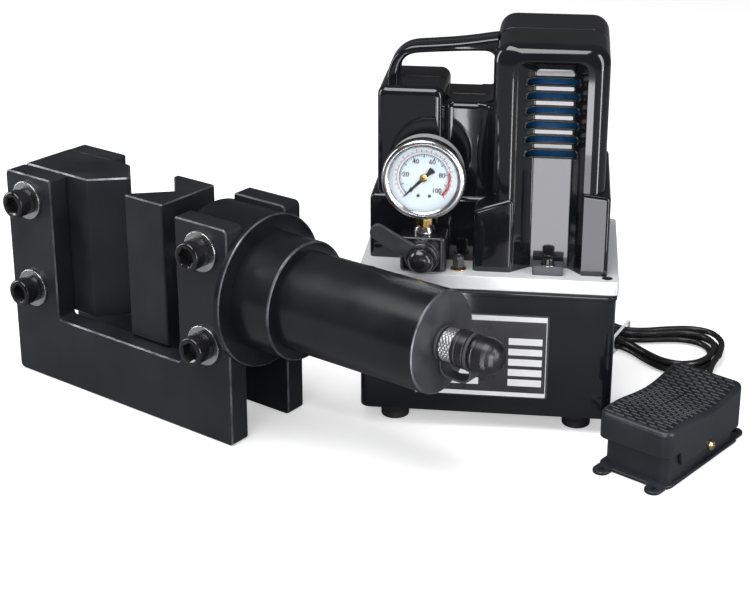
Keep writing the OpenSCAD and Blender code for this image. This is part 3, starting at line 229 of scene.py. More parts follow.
def loft(rings, marks=None, capped=True):
    """A skin through rings with equal numbers of points. marks gives a mark to each band."""
    n, bands = len(rings[0]), len(rings) - 1
    faces = [(j * n + i, j * n + (i + 1) % n, (j + 1) * n + (i + 1) % n, (j + 1) * n + i)
             for j in range(bands) for i in range(n)]
    face_marks = [marks[j] if marks else 0 for j in range(bands) for i in range(n)]
    if capped:
        faces += [tuple(reversed(range(n))), tuple(range(bands * n, len(rings) * n))]
        face_marks += [marks[0] if marks and marks[0] == marks[-1] else 0] * 2
    return Form([p for ring in rings for p in ring], faces, face_marks)


def stacked(n, *levels, **how):
    """A loft of n sides through levels: (radius, height) for a circle, or (outline of n points, height)."""
    return loft([at_height(a if isinstance(a, list) else circle(a, n), z) for a, z in levels], **how)


def turned(profile, steps=96, marks=None):
    """A body turned about local Z from (radius, height) pairs; a profile that returns to its start needs no caps."""
    levels = [(max(r, TINY_R), z) for r, z in profile]
    return stacked(steps, *levels, marks=marks, capped=profile[0] != profile[-1])


def eased(profile, r=0.6, steps=3):
    """A turned profile whose inner corners are rounded."""
    out = [profile[0]]
    for before, at, after in zip(profile, profile[1:], profile[2:]):
        c, a, b = Vector(at), Vector(before), Vector(after)
        u, v = a - c, b - c
        cut = min(r, u.length / 2.2, v.length / 2.2)
        if cut < 0.02:
            out.append(at)
            continue
        p, q = c + u.normalized() * cut, c + v.normalized() * cut
        for i in range(steps + 1):
            t = i / steps
            out.append(tuple(p * (1 - t) ** 2 + c * 2 * t * (1 - t) + q * t ** 2))
    return out + [profile[-1]]


def eased_turn(steps, ease, *profile):
    return turned(eased(list(profile), ease), steps)


def rod(r, low, high, steps=48):
    """A plain round bar along local Z."""
    return turned([(0, low), (r, low), (r, high), (0, high)], steps)


def washer(steps, ease, bore, r, low, high):
    return eased_turn(steps, ease, (bore, low), (r, low), (r, high), (bore, high), (bore, low))


def prism(outline, low, high, edge=0.6, steps=3, low_edge=None, edge_mark=0):
    """An outline pulled up between two heights, with rounded rims; one step makes a chamfer."""
    low_edge = edge if low_edge is None else low_edge
    rings = [at_height(drawn_in(outline, low_edge * (1 - math.sin(t))), low + low_edge * (1 - math.cos(t)))
             for t in quarter(steps)]
    rings += [at_height(drawn_in(outline, edge * (1 - math.cos(t))), high - edge * (1 - math.sin(t)))
              for t in quarter(steps)]
    form = loft(rings, [edge_mark] * steps + [0] + [edge_mark] * steps)
    form.marks[-2:] = [0, 0]
    return form


def slab(half_x, half_y, r, corner_steps, low, high, **how):
    """A prism on a centred rounded rectangle."""
    return prism(box_outline(-half_x, -half_y, half_x, half_y, r, corner_steps), low, high, **how)


def box_cut(x0, x1, z0, z1, y0, y1, r=0.5, steps=3):
    """A cutter whose edges are nearly sharp."""
    return prism(box_outline(x0, z0, x1, z1, r, steps), y0, y1, edge=0.05, steps=1)


def directions(points):
    """Unit vectors along an open path of vectors, one for each point."""
    last = len(points) - 1
    return [(points[min(i + 1, last)] - points[max(i - 1, 0)]).normalized() for i in range(last + 1)]


def tube(path, radius, sides):
    """A round tube along an open path."""
    points = [Vector(p) for p in path]
    ways = directions(points)
    side = ways[0].orthogonal().normalized()
    rings = []
    for p, way in zip(points, ways):
        side = (side - way * side.dot(way)).normalized()
        rings.append(round_section(p, side, way.cross(side), radius, sides))
    return loft(rings)


def closed_tube(path, radius, sides):
    """A round tube along a closed path that lies about level."""
    points = [Vector(p) for p in path]
    rings = []
    for i, p in enumerate(points):
        way = (points[(i + 1) % len(points)] - points[i - 1]).normalized()
        side = way.cross(Vector((0, 0, 1))).normalized()
        rings.append(round_section(p, side, side.cross(way), radius, sides))
    return loft(rings + rings[:1], capped=False)


def round_section(p, side, other, r, sides):
    return [tuple(p + side * r * math.cos(math.tau * k / sides) + other * r * math.sin(math.tau * k / sides))
            for k in range(sides)]


def smooth_path(points, steps):
    """A curve through the given points, with so many steps between two of them."""
    p = [Vector(q) for q in points]
    p = [p[0] * 2 - p[1]] + p + [p[-1] * 2 - p[-2]]
    made = []
    for a, b, c, d in zip(p, p[1:], p[2:], p[3:]):
        bend, twist = 2 * a - 5 * b + 4 * c - d, 3 * b - a - 3 * c + d
        for i in range(steps):
            t = i / steps
            made.append(0.5 * (2 * b + (c - a) * t + bend * t * t + twist * t ** 3))
    return made + [p[-2]]


# ---------------------------------------------------------------- pieces
MATERIALS = {}
SAME_POINT, NO_LENGTH = 2e-6, 1e-7          # metres


def new_mesh(name, form, place):
    mesh = bpy.data.meshes.new(name)
    move = Matrix.Scale(MM, 4) @ place
    mesh.from_pydata([move @ Vector(p) for p in form.points], [], form.faces)
    mesh.polygons.foreach_set("material_index", form.marks)
    work = bmesh.new()
    work.from_mesh(mesh)
    bmesh.ops.remove_doubles(work, verts=work.verts, dist=SAME_POINT)
    bmesh.ops.dissolve_degenerate(work, edges=work.edges, dist=NO_LENGTH)
    bmesh.ops.recalc_face_normals(work, faces=work.faces)
    work.to_mesh(mesh)
    work.free()
    return mesh


def piece(name, form, finishes, body="frame", place=HEAD, nodes=(), cutters=(), sharp=34, slot=None, bends=None):
    """Makes a piece, rides it on its body (a piece given bends is left unattached, in place) and hides the solids that
    it stands for.
    """
    finishes, nodes = [[given] if isinstance(given, str) else given for given in (finishes, nodes)]
    obj = show(name, new_mesh(name, form, place))
    for finish in finishes:
        obj.data.materials.append(MATERIALS[finish])
    if cutters:
        cut_away(obj, [c.placed(place) for c in cutters])
    obj.data.shade_smooth()
    obj.data.set_sharp_from_angle(angle=math.radians(sharp))
    obj.modifiers.new("even_shading", "WEIGHTED_NORMAL").keep_sharp = True
    if bends:
        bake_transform(obj)
    else:
        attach(obj, body)
    if nodes:
        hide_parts(*nodes)
    return obj


def cut_away(obj, cutters):
    """Takes closed forms out of a piece's mesh."""
    tools = [show("cutter", new_mesh("cutter", form, HEAD)) for form in cutters]
    for tool in tools:
        cut = obj.modifiers.new("cut", "BOOLEAN")
        cut.operation, cut.solver, cut.object = "DIFFERENCE", "EXACT", tool
    seen = obj.evaluated_get(bpy.context.evaluated_depsgraph_get())
    old, obj.data = obj.data, bpy.data.meshes.new_from_object(seen)
    obj.modifiers.clear()
    bpy.data.meshes.remove(old)
    for tool in tools:
        used = tool.data
        bpy.data.objects.remove(tool)
        bpy.data.meshes.remove(used)


# ---------------------------------------------------------------- shader groups
NODE_SETTINGS = ("operation", "data_type", "node_tree")
SOCKET_KINDS = {3: "NodeSocketVector", 4: "NodeSocketColor"}


def node_group(name, gives, **takes):
    """An empty shader group with its outputs' names and its inputs; the kind of an input follows from its value."""
    group = bpy.data.node_groups.new(name, "ShaderNodeTree")
    for label, value in takes.items():
        kind = SOCKET_KINDS[len(value)] if isinstance(value, tuple) else "NodeSocketFloat"
        socket = group.interface.new_socket(label.replace("_", " "), in_out="INPUT", socket_type=kind)
        socket.default_value = value
    for label in gives:
        kind = "NodeSocketColor" if label == "Color" else "NodeSocketFloat"
        group.interface.new_socket(label, in_out="OUTPUT", socket_type=kind)
    return group, group.nodes.new("NodeGroupInput").outputs


def set_sockets(tree, node, given):
    """Puts values or links on a node's sockets; i0 is the first input, and so on."""
    for key, value in given.items():
        socket = node.inputs[int(key[1:]) if key[1:].isdigit() else key.replace("_", " ")]
        if isinstance(value, bpy.types.NodeSocket):
            tree.links.new(value, socket)
        else:
            socket.default_value = value


def add_node(tree, kind, out=None, **given):
    """A node with its settings and sockets; gives the output that out names, or else the node."""
    node = tree.nodes.new(kind if kind.startswith("NodeGroup") else "ShaderNode" + kind)
    for key in NODE_SETTINGS:
        if key in given:
            setattr(node, key, given.pop(key))
    set_sockets(tree, node, given)
    return node if out is None else node.outputs[out]


def make_surface_tone():
    """Slow drift between two tones and two roughnesses, with a fine grain for the bump."""
    g, take = node_group("surface_tone", ("Color", "Roughness", "Height"), Tone=(0.1, 0.1, 0.1, 1),
                         Other_Tone=(0.2, 0.2, 0.2, 1), Drift_Size=30.0, Grain_Size=900.0, Smoothest=0.3, Roughest=0.5)
    place = add_node(g, "TexCoord", "Object")
    drift = add_node(g, "TexNoise", "Fac", Vector=place, Scale=take["Drift Size"], Detail=3.0)
    grain = add_node(g, "TexNoise", "Fac", Vector=place, Scale=take["Grain Size"], Detail=2.0)
    share = add_node(g, "MapRange", 0, Value=drift, i1=0.35, i2=0.65)
    mixed = add_node(g, "Math", 0, operation="MULTIPLY_ADD", i0=grain, i1=0.4, i2=share)
    tone = add_node(g, "Mix", 2, data_type="RGBA", i0=share, i6=take["Tone"], i7=take["Other Tone"])
    rough = add_node(g, "MapRange", 0, Value=mixed, i1=0.1, i2=1.2, i3=take["Smoothest"], i4=take["Roughest"])
    add_node(g, "NodeGroupOutput", Color=tone, Roughness=rough, Height=grain)
    return g


def make_light_specks():
    """A mask of small light specks, such as dust or bare grains."""
    g, take = node_group("light_specks", ("Mask",), Size=700.0, Amount=0.1)
    place = add_node(g, "TexCoord", "Object")
    cell = add_node(g, "TexVoronoi", "Distance", Vector=place, Scale=take["Size"])
    patch = add_node(g, "TexNoise", "Fac", Vector=place, Scale=60.0, Detail=3.0)
    reach = add_node(g, "Math", 0, operation="MULTIPLY", i0=patch, i1=take["Amount"])
    add_node(g, "NodeGroupOutput", Mask=add_node(g, "Math", 0, operation="LESS_THAN", i0=cell, i1=reach))
    return g


def make_machining_lines():
    """Fine parallel lines left by grinding or turning; the stretch squeezes them across their run."""
    g, take = node_group("machining_lines", ("Height",), Stretch=(1, 1, 40), Size=120.0)
    place = add_node(g, "TexCoord", "Object")
    drawn = add_node(g, "VectorMath", 0, operation="MULTIPLY", i0=place, i1=take["Stretch"])
    lines = add_node(g, "TexNoise", "Fac", Vector=drawn, Scale=take["Size"], Detail=4.0)
    add_node(g, "NodeGroupOutput", Height=lines)
    return g


SURFACE_TONE, LIGHT_SPECKS, MACHINING_LINES = make_surface_tone(), make_light_specks(), make_machining_lines()


# ---------------------------------------------------------------- finishes
def new_material(name):
    """A material, its shader tree and its principled shader."""
    material = bpy.data.materials.new(name)
    material.use_nodes = True
    return material, material.node_tree, material.node_tree.nodes["Principled BSDF"]


def finish(name, tone, other, rough, drift=30.0, grain=900.0, bump=0.15, depth=0.0002, specks=None,
           speck_tone=(0.3, 0.3, 0.3), lines=None, **shader):
    """A material whose tone and roughness drift between two values, with grain, specks or machining lines."""
    material, tree, bsdf = new_material(name)
    tones = add_node(tree, "Group", node_tree=SURFACE_TONE, Tone=(*tone, 1), Other_Tone=(*other, 1),
                     Drift_Size=drift, Grain_Size=grain, Smoothest=rough[0], Roughest=rough[1]).outputs
    colour, height = tones["Color"], tones["Height"]
    if specks:
        mask = add_node(tree, "Group", "Mask", node_tree=LIGHT_SPECKS, Size=specks[0], Amount=specks[1])
        colour = add_node(tree, "Mix", 2, data_type="RGBA", i0=mask, i6=colour, i7=(*speck_tone, 1))
    if lines:
        height = add_node(tree, "Group", "Height", node_tree=MACHINING_LINES, Stretch=lines[0], Size=lines[1])
    relief = add_node(tree, "Bump", "Normal", Strength=bump, Distance=depth, Height=height)
    set_sockets(tree, bsdf, {**shader, "Base Color": colour, "Roughness": tones["Roughness"], "Normal": relief})
    material.diffuse_color = (*tone, 1)
    MATERIALS[name] = material


METAL = dict(Metallic=1.0)
RUBBER = dict(drift=50, grain=1600, depth=0.0001)
MOULDED = dict(grain=1500, depth=0.0001)
GRAINLESS = ((1, 1, 1), 500)                # machining lines that run no way in particular

finish("blackened_steel", (0.009, 0.0105, 0.0135), (0.015, 0.017, 0.0215), (0.3, 0.45), drift=22, grain=1400,
       bump=0.3, depth=0.00006, specks=(900, 0.09), speck_tone=(0.07, 0.07, 0.075), Specular_IOR_Level=0.55)
# Lighter tone for chamfers and rims: partly worn bare steel, partly a painted highlight along the edges
finish("worn_edge_and_highlight", (0.2, 0.205, 0.225), (0.06, 0.064, 0.072), (0.28, 0.4), drift=60, Metallic=0.6)
finish("cylinder_black", (0.006, 0.007, 0.009), (0.01, 0.011, 0.014), (0.17, 0.27), drift=18, grain=1800,
       bump=0.35, depth=0.00008, specks=(1100, 0.11), speck_tone=(0.08, 0.08, 0.085), Specular_IOR_Level=0.6)
finish("cylinder_face", (0.05, 0.051, 0.057), (0.075, 0.076, 0.083), (0.36, 0.5), drift=40, bump=0.2,
       lines=((1, 1, 1), 700), Metallic=0.3)
finish("machined_steel", (0.56, 0.57, 0.59), (0.5, 0.51, 0.53), (0.18, 0.3), lines=((1, 0.05, 0.05), 1500), **METAL)
finish("bolt_black", (0.008, 0.008, 0.009), (0.016, 0.016, 0.018), (0.12, 0.24), drift=80, Specular_IOR_Level=0.7)
finish("zinc", (0.7, 0.71, 0.73), (0.58, 0.59, 0.61), (0.18, 0.34), drift=90, lines=GRAINLESS, bump=0.1, **METAL)
finish("spring_steel", (0.4, 0.41, 0.43), (0.33, 0.34, 0.35), (0.25, 0.4), **METAL)
finish("nickel", (0.74, 0.74, 0.75), (0.66, 0.66, 0.68), (0.1, 0.2), drift=60, **METAL)
finish("brushed_steel", (0.72, 0.72, 0.73), (0.62, 0.62, 0.64), (0.2, 0.3), drift=60, bump=0.08,
       lines=((1, 1, 1), 600), **METAL)
finish("seal_polymer", (0.6, 0.3, 0.1), (0.52, 0.26, 0.09), (0.35, 0.5))
finish("bronze", (0.55, 0.36, 0.16), (0.48, 0.3, 0.14), (0.25, 0.4), **METAL)
finish("black_rubber", (0.012, 0.012, 0.014), (0.02, 0.02, 0.022), (0.42, 0.6), bump=0.25, **RUBBER)
finish("cap_rubber", (0.009, 0.009, 0.011), (0.015, 0.015, 0.017), (0.24, 0.36), bump=0.2, **RUBBER)
finish("strap_rubber", (0.03, 0.031, 0.034), (0.045, 0.046, 0.05), (0.45, 0.65), bump=0.25, **RUBBER)
finish("tank_enamel", (0.005, 0.006, 0.0085), (0.008, 0.009, 0.012), (0.07, 0.14), drift=14, grain=260, bump=0.06,
       Coat_Weight=0.4, Coat_Roughness=0.05)
finish("plate_aluminium", (0.86, 0.87, 0.89), (0.8, 0.81, 0.83), (0.3, 0.42), drift=20, bump=0.12,
       lines=((1, 30, 1), 90), Metallic=0.35)
finish("label_film", (0.03, 0.03, 0.033), (0.042, 0.042, 0.046), (0.25, 0.35), bump=0.04)
finish("label_white", (0.9, 0.9, 0.9), (0.84, 0.84, 0.85), (0.3, 0.4), drift=60, bump=0.04)
finish("cover_gloss", (0.006, 0.0065, 0.009), (0.009, 0.0095, 0.012), (0.05, 0.1), drift=16, grain=220, bump=0.05,
       Coat_Weight=0.3, Coat_Roughness=0.04)
finish("lip_black", (0.004, 0.004, 0.005), (0.007, 0.007, 0.008), (0.3, 0.42), bump=0.1)
finish("recess_gloss", (0.012, 0.012, 0.015), (0.018, 0.018, 0.022), (0.1, 0.16), drift=20, grain=400, bump=0.06,
       Coat_Weight=1.0, Coat_Roughness=0.08)
finish("grey_iron", (0.28, 0.29, 0.3), (0.22, 0.23, 0.24), (0.5, 0.7), grain=1200, bump=0.4)
finish("motor_blue", (0.02, 0.15, 0.42), (0.03, 0.19, 0.5), (0.2, 0.35), Specular_IOR_Level=0.6)
finish("copper_winding", (0.4, 0.2, 0.08), (0.3, 0.14, 0.05), (0.3, 0.5), lines=((1, 1, 0.1), 900), bump=0.4)
finish("brass", (0.72, 0.5, 0.2), (0.62, 0.42, 0.16), (0.16, 0.3), drift=120, bump=0.1,
       lines=((0.1, 0.1, 1), 900), **METAL)
finish("yellow_zinc", (0.74, 0.62, 0.26), (0.7, 0.46, 0.4), (0.2, 0.36), drift=260, **METAL)
finish("dial_face", (0.76, 0.86, 0.92), (0.8, 0.89, 0.94), (0.3, 0.4), drift=40, bump=0.02)
finish("dial_black", (0.015, 0.015, 0.016), (0.02, 0.02, 0.022), (0.35, 0.45), bump=0.02)
finish("dial_red", (0.55, 0.02, 0.03), (0.48, 0.02, 0.03), (0.35, 0.45), bump=0.02)
finish("pointer_black", (0.01, 0.01, 0.011), (0.016, 0.016, 0.017), (0.3, 0.4), bump=0.02)
finish("lever_charcoal", (0.03, 0.031, 0.034), (0.045, 0.046, 0.05), (0.3, 0.42), drift=70, bump=0.2,
       specks=(900, 0.12), speck_tone=(0.12, 0.12, 0.12), **MOULDED)
finish("pedal_plastic", (0.013, 0.015, 0.02), (0.019, 0.022, 0.028), (0.3, 0.42), drift=16, grain=1500, bump=0.3,
       depth=0.00008)
# The treadle's top is painted darker than its plastic: painted shade between the grip bars
finish("tread_painted_shade", (0.006, 0.0065, 0.008), (0.01, 0.0105, 0.012), (0.38, 0.5), drift=40, bump=0.3, **MOULDED)
finish("knurl_zinc", (0.5, 0.5, 0.51), (0.4, 0.4, 0.41), (0.32, 0.44), drift=120, bump=0.2, Metallic=0.9, **MOULDED)
finish("bracket_grey", (0.05, 0.052, 0.062), (0.075, 0.077, 0.088), (0.3, 0.42), grain=1300, bump=0.3, depth=0.0001)
# The grip bars are painted lighter than the tread under them: painted light on their tops
finish("grip_rubber", (0.034, 0.036, 0.042), (0.05, 0.052, 0.058), (0.3, 0.42), drift=40, bump=0.2, **MOULDED)
finish("device_grey", (0.1, 0.1, 0.11), (0.13, 0.13, 0.14), (0.4, 0.5))
finish("button_red", (0.4, 0.04, 0.03), (0.36, 0.04, 0.03), (0.25, 0.35))
finish("lead_jacket", (0.01, 0.01, 0.011), (0.016, 0.016, 0.017), (0.2, 0.32), grain=1200, bump=0.1, depth=0.0001)
finish("tie_white", (0.82, 0.84, 0.88), (0.78, 0.8, 0.86), (0.3, 0.4), drift=90, bump=0.05)


def make_glass():
    """Clear gauge glass; it stays thin, so light comes straight through."""
    MATERIALS["gauge_glass"], tree, bsdf = new_material("gauge_glass")
    smear = add_node(tree, "Group", "Roughness", node_tree=SURFACE_TONE, Smoothest=0.02, Roughest=0.06)
    set_sockets(tree, bsdf, {"Base Color": (0.95, 0.98, 1, 1), "IOR": 1.45, "Transmission Weight": 1.0, "Alpha": 0.3,
                             "Roughness": smear})


make_glass()

SLOT_OF = {s["node"]: s["material_slot"] for s in frame["record"]["subparts"]}
for node_name, solid in frame["nodes"].items():
    solid.data.materials.clear()
    solid.data.materials.append(MATERIALS[SLOT_OF[node_name]])


# ---------------------------------------------------------------- lead of the foot switch
CORD_D = 5.5
CORD_Z, LAYER = 3.65, 6.2       # the cord's middle on the bench, and the rise to the hank's upper layer
GLAND_TIP = (177.50, 255.79, 165)
PEDAL_ENTRY = (424.67, 264.84, 13)
LEAD_DOWN = [
    (172, 265.5, 164), (168.5, 271.5, 160.5), (165.5, 277, 152), (164, 280.5, 139), (163.5, 282.5, 125),
    (163.5, 283.5, 111), (163.5, 284, 97), (163.5, 284.5, 83), (163.5, 285, 69), (163.5, 286, 55),
    (164, 287.5, 42), (165, 290, 30), (167, 294, 19.5), (170.5, 299, 11), (175.5, 304.5, 5.7),
    (181.5, 311, 3.8), (187.5, 319, CORD_Z), (192, 329, CORD_Z)]
LEAD_BACK = [
    (380, 366, 9.6), (382.5, 353, 8.2), (386, 341, 6), (391, 330.5, 4.2), (397.5, 321.5, CORD_Z),
    (404.5, 313, 3.8), (411.5, 304.5, 5), (417.5, 295.5, 7.5), (422, 285.5, 10.6), (424.8, 277, 12.7)]
HANK = shift(286, 360, 0) @ turn(10, "Z")
HANK_TURNS, HANK_RINGS = 3.5, 24


def hank_point(q):
    """A point of the tied hank after q turns: inwards on the lower layer, outwards on the upper one."""
    middle = HANK_TURNS / 2
    s = q if q <= middle - 0.25 else HANK_TURNS - q if q >= middle + 0.25 else middle - 0.25
    u = max(0.0, min(1.0, (q - middle + 0.25) / 0.5))
    a = math.radians(180 + 360 * q)
    x = (86 - 6 * s) * math.cos(a) + (8 - 0.5 * s) * math.cos(3 * a)
    y = -(41 - 12.5 * s) * math.sin(a) - (24 - 4.5 * s) * math.sin(3 * a)
    return HANK @ Vector((x, y, CORD_Z + LAYER * (1 - math.cos(math.pi * u)) / 2))


def dress_lead():
    hank = [hank_point(i / HANK_RINGS) for i in range(int(HANK_TURNS * HANK_RINGS) + 1)]
    start, end = Vector(GLAND_TIP), Vector(PEDAL_ENTRY)
    aside = HANK.to_3x3() @ Vector((0, CORD_D, 0))
    points = [start, start + Vector((-0.5, 0.866, 0)) * CORD_D, *LEAD_DOWN, hank[0] - aside, *hank, hank[-1] - aside,
              *LEAD_BACK, end + PEDAL.to_3x3() @ Vector((CORD_D, 0, 0)), end]
    path = smooth_path(points, 4)
    lead = piece("foot_lead_jacket", tube(path, CORD_D / 2, 14), "lead_jacket", nodes=("foot_lead", "lead_hank"))
    half, top, thick, wide = 23.2, 16.7, 0.8, 2.6
    outer = box_outline(-half - thick, 0, half + thick, top, 4, 5)
    inner = drawn_in(outer, thick)
    band = stacked(None, (inner, 0), (outer, 0), (outer, wide), (inner, wide), (inner, 0), capped=False)
    twist = tube([(half - 6, top - 0.4, 1.3), (half - 2, top - 0.2, 0.9), (half + 1, top - 2, 1.6)], 0.75, 8)
    tie = piece("hank_tie_band", together(band, twist), "tie_white", nodes="hank_tie",
                place=HANK @ shift(-wide / 2, 0, 0) @ turn(90, "Z") @ turn(90, "X"))


# ---------------------------------------------------------------- bending head
BOLT_X, BOLT_RISE = 102, 41
BOLTS = [(x, RAM_Z + z) for x in (-BOLT_X, BOLT_X) for z in (-BOLT_RISE, BOLT_RISE)]
PLATE, PLATE_FRONT, PLATE_BACK = 20, -10, 82            # a side plate's thickness; the outer faces of both in y
STEEL = ("blackened_steel", "worn_edge_and_highlight")


def chamfered(outline, low, high, edge):
    """A steel block whose chamfers take the lighter edge finish: worn bare steel, with a painted highlight along the
    edge.
    """
    return prism(outline, low, high, edge=edge, steps=1, edge_mark=1)


def dress_side_plates():
    outline = rounded([(-129, 0, 5), (129, 0, 4), (129, 190, 4.5), (73, 190, 2), (73, 61, 3), (-73, 61, 3),
                       (-73, 190, 2), (-129, 190, 4.5)], 5)
    holes = [rod(8.6, -2, PLATE + 4, 40).placed(shift(x, z, 0)) for x, z in BOLTS]
    for name, back in (("side_plate_front", PLATE_FRONT + PLATE), ("side_plate_rear", PLATE_BACK)):
        piece(name + "_slab", chamfered(outline, 0, PLATE, 1.1), STEEL, place=to_front(0, back, 0), nodes=name,
              cutters=holes)


def socket_head():
    """A socket head cap screw's head, its face towards +Z, with a hexagon hole and a fine knurl."""
    n = 96
    knurled = [((12 - 0.25 * (i % 2)) * x, (12 - 0.25 * (i % 2)) * y) for i, (x, y) in enumerate(circle(1, n))]
    hole = hexagon(14, n)
    return stacked(n, (11.3, 0), (12, 0.7), (12, 1.6), (knurled, 1.8), (knurled, 11.8), (12, 12), (12, 14.2),
                   (11.6, 15.2), (10.6, 15.9), (9, 16), (8.6, 15.9), (hole, 15), (hole, 7), (4, 6.4), (0.001, 5.2))


def threaded_end(r, low, high, pitch=2.0):
    """A screw end whose thread is drawn as close rings."""
    profile, z = [(r, low)], low
    while z + pitch < high - 1:
        profile += [(r, z + 0.2 * pitch), (r - 0.55 * pitch, z + 0.55 * pitch), (r, z + 0.9 * pitch)]
        z += pitch
    return turned(profile + [(r, high - 1.2), (r - 1.2, high), (0, high)], 48)


def nut_form(across, height, bore, n=72):
    """A hexagon nut with its corners turned down on both faces."""
    def flats(cut):
        limit = across / 2 / math.cos(math.pi / 6) - cut
        return [(x * min(1, limit / math.hypot(x, y)), y * min(1, limit / math.hypot(x, y)))
                for x, y in hexagon(across, n)]
    near, far, bevel = min(0.6, height * 0.2), min(1.9, height * 0.4), min(0.8, height * 0.4)
    face, cut_down, full = across / 2 - 1, flats(1.4), flats(0)
    return stacked(n, (bore, bevel), (face, 0), (cut_down, near), (full, far), (full, height - far),
                   (cut_down, height - near), (face, height), (bore + bevel, height), (bore, height - bevel),
                   (bore, bevel), capped=False)


def dress_frame_bolts():
    heads, washers, nuts = Form(), Form(), Form()
    thick = 3
    front, back = PLATE_FRONT - thick, PLATE_BACK + thick
    disc = washer(72, 0.7, 8.4, 17, 0, thick)
    for i, (x, z) in enumerate(BOLTS):
        spin = turn(17 + 23 * i, "Z")
        heads.put(socket_head(), to_front(x, front, z) @ spin)
        heads.put(turned([(8, -113.5), (8, 0)], 40), to_front(x, front, z))
        heads.put(threaded_end(8, 98.2, 115), to_back(x, front, z))
        washers.put(disc, to_front(x, PLATE_FRONT, z)).put(disc, to_back(x, PLATE_BACK, z))
        nuts.put(nut_form(24, 13, 8), to_back(x, back, z) @ spin)
    for kind, form, look in (("bolt", heads, "bolt_black"), ("washer", washers, "zinc"), ("nut", nuts, "bolt_black")):
        piece(f"frame_{kind}_set", form, look, nodes=f"frame_{kind}s")


def bolt_cutters(x):
    return [rod(8.5, -40, 40, 32).placed(to_front(x, 0, RAM_Z + z)) for z in (-BOLT_RISE, BOLT_RISE)]


def dress_dies():
    middle = shift(0, RAM_Y, 0)
    nose = rounded([(-125, -26, 2), (-48, -26, 2), (-22, 0, 3.2), (-48, 26, 2), (-125, 26, 2)], 5)
    piece("nose_die_block", chamfered(nose, 63, 191, 1.2), STEEL, place=middle, nodes="nose_die",
          cutters=bolt_cutters(-BOLT_X))
    vee = rounded([(3.5, -32.5, 1.5), (46.5, -32.5, 2), (46.5, 32.5, 2), (3.5, 32.5, 1.5), (3.5, 27.4, 1.5),
                   (30, 0, 1.6), (3.5, -27.4, 1.5)], 4)
    socket, screw_way = rod(12.3, 0, 20).placed(along_x(35.2, 0)), rod(3.3, 0, 40, 32).placed(to_back(41, 0, RAM_Z))
    piece("vee_die_block", chamfered(vee, 63, 190, 1.0), STEEL, body="ram", place=middle, nodes="vee_die",
          cutters=[socket, screw_way])
    hole = hexagon(3, 36)
    screw = stacked(36, (2.8, 0), (3, 0.4), (3, 17), (2.6, 17.5), (hole, 17.5), (hole, 14.5), (0.001, 14))
    piece("die_set_screw", screw, "bolt_black", body="ram", place=to_back(41, RAM_Y + 12.3, RAM_Z), nodes="die_screw")


def coil(r, length, steps, steps_a_turn=20):
    return [(r * math.cos(math.tau * i / steps_a_turn), r * math.sin(math.tau * i / steps_a_turn), length * i / steps)
            for i in range(steps + 1)]


def dress_ram():
    shaft = eased_turn(96, 0.4, (0, -11), (11, -11), (12, -10), (12, 0), (20, 0), (22, 2), (22, 222.5), (32.95, 222.5),
                       (32.95, 230), (29, 230), (29, 235), (32.95, 235), (32.95, 242.5), (15, 242.5), (15, 40), (0, 40))
    piece("ram_shaft", shaft, "machined_steel", body="ram", place=along_x(46.5), nodes="ram")
    spring = [(88.55 + h, RAM_Y + c, RAM_Z + s) for c, s, h in coil(10, 200.4, 320)]
    piece("return_spring_coil", tube(spring, 1.7, 8), "spring_steel", nodes="return_spring",
          bends=("ram", "frame", (0.0886, 0.036, 0.126), (0.2889, 0.036, 0.126)))


def flat_sided(r, half, steps=40):
    """A circle cut flat on two sides so that it fits between the plates."""
    reach = math.asin(half / r)
    return [(r * math.cos(side + a), r * math.sin(side + a)) for side in (0, math.pi)
            for a in [reach * (2 * i / steps - 1) for i in range(steps + 1)]]


def dress_cylinder():
    """A band's mark is 1 on a rim painted lighter, as worn bare steel with a painted edge highlight, and 2 on the end
    face.
    """
    place = along_x(0)

    def black(name, form, nodes=(), cutters=()):
        piece(name, form, ["cylinder_black", "worn_edge_and_highlight", "cylinder_face"], place=place, nodes=nodes, cutters=cutters,
              slot="blackened_steel")
    sides, back = flat_sided(64.5, 26), place.inverted() @ shift(0, RAM_Y, 0)
    bore = turned([(0, 70), (24.1, 70), (24.1, 79), (22.5, 79), (22.5, 129.9), (42.6, 129.9), (42.6, 140), (0, 140)],
                  72)
    grip = stacked(None, (flat_sided(63.3, 24.9), 74), (sides, 75.2), (sides, 129.2), marks=[1, 0])
    black("cylinder_block_grip", grip, "cylinder_block", [bore] + [c.placed(back) for c in bolt_cutters(BOLT_X)])
    for name, nodes, profile, marks in (
            ("cylinder_block_shoulder", (),
             [(42.6, 129.1), (64, 129.1), (64.5, 129.6), (64.5, 133.8), (64.2, 134.6), (63.4, 135), (42.6, 135),
              (42.6, 129.1)], [0, 0, 0, 1, 1, 0, 0]),
            ("gland_collar_ring", "gland_collar",
             [(22.5, 130), (42.5, 130), (42.5, 135), (49.5, 135.05), (49.5, 171.4), (49.3, 172.1), (48.8, 172.7),
              (48.1, 173), (37.8, 173), (37.8, 157.7), (25, 157.7), (25, 139.7), (22.5, 139.7), (22.5, 130)],
             [0, 0, 0, 0, 1, 1, 1, 0, 0, 0, 0, 0, 0]),
            ("cylinder_barrel_tube", "cylinder_barrel",
             [(33, 158), (37.5, 158), (37.5, 173), (41, 173.05), (41, 303.7), (40.8, 304.3), (40.3, 304.8),
              (39.7, 305), (9, 305), (9, 291), (33, 291), (33, 158)], [0, 0, 0, 0, 1, 1, 1, 2, 0, 0, 0])):
        black(name, turned(profile, 160, marks), nodes)


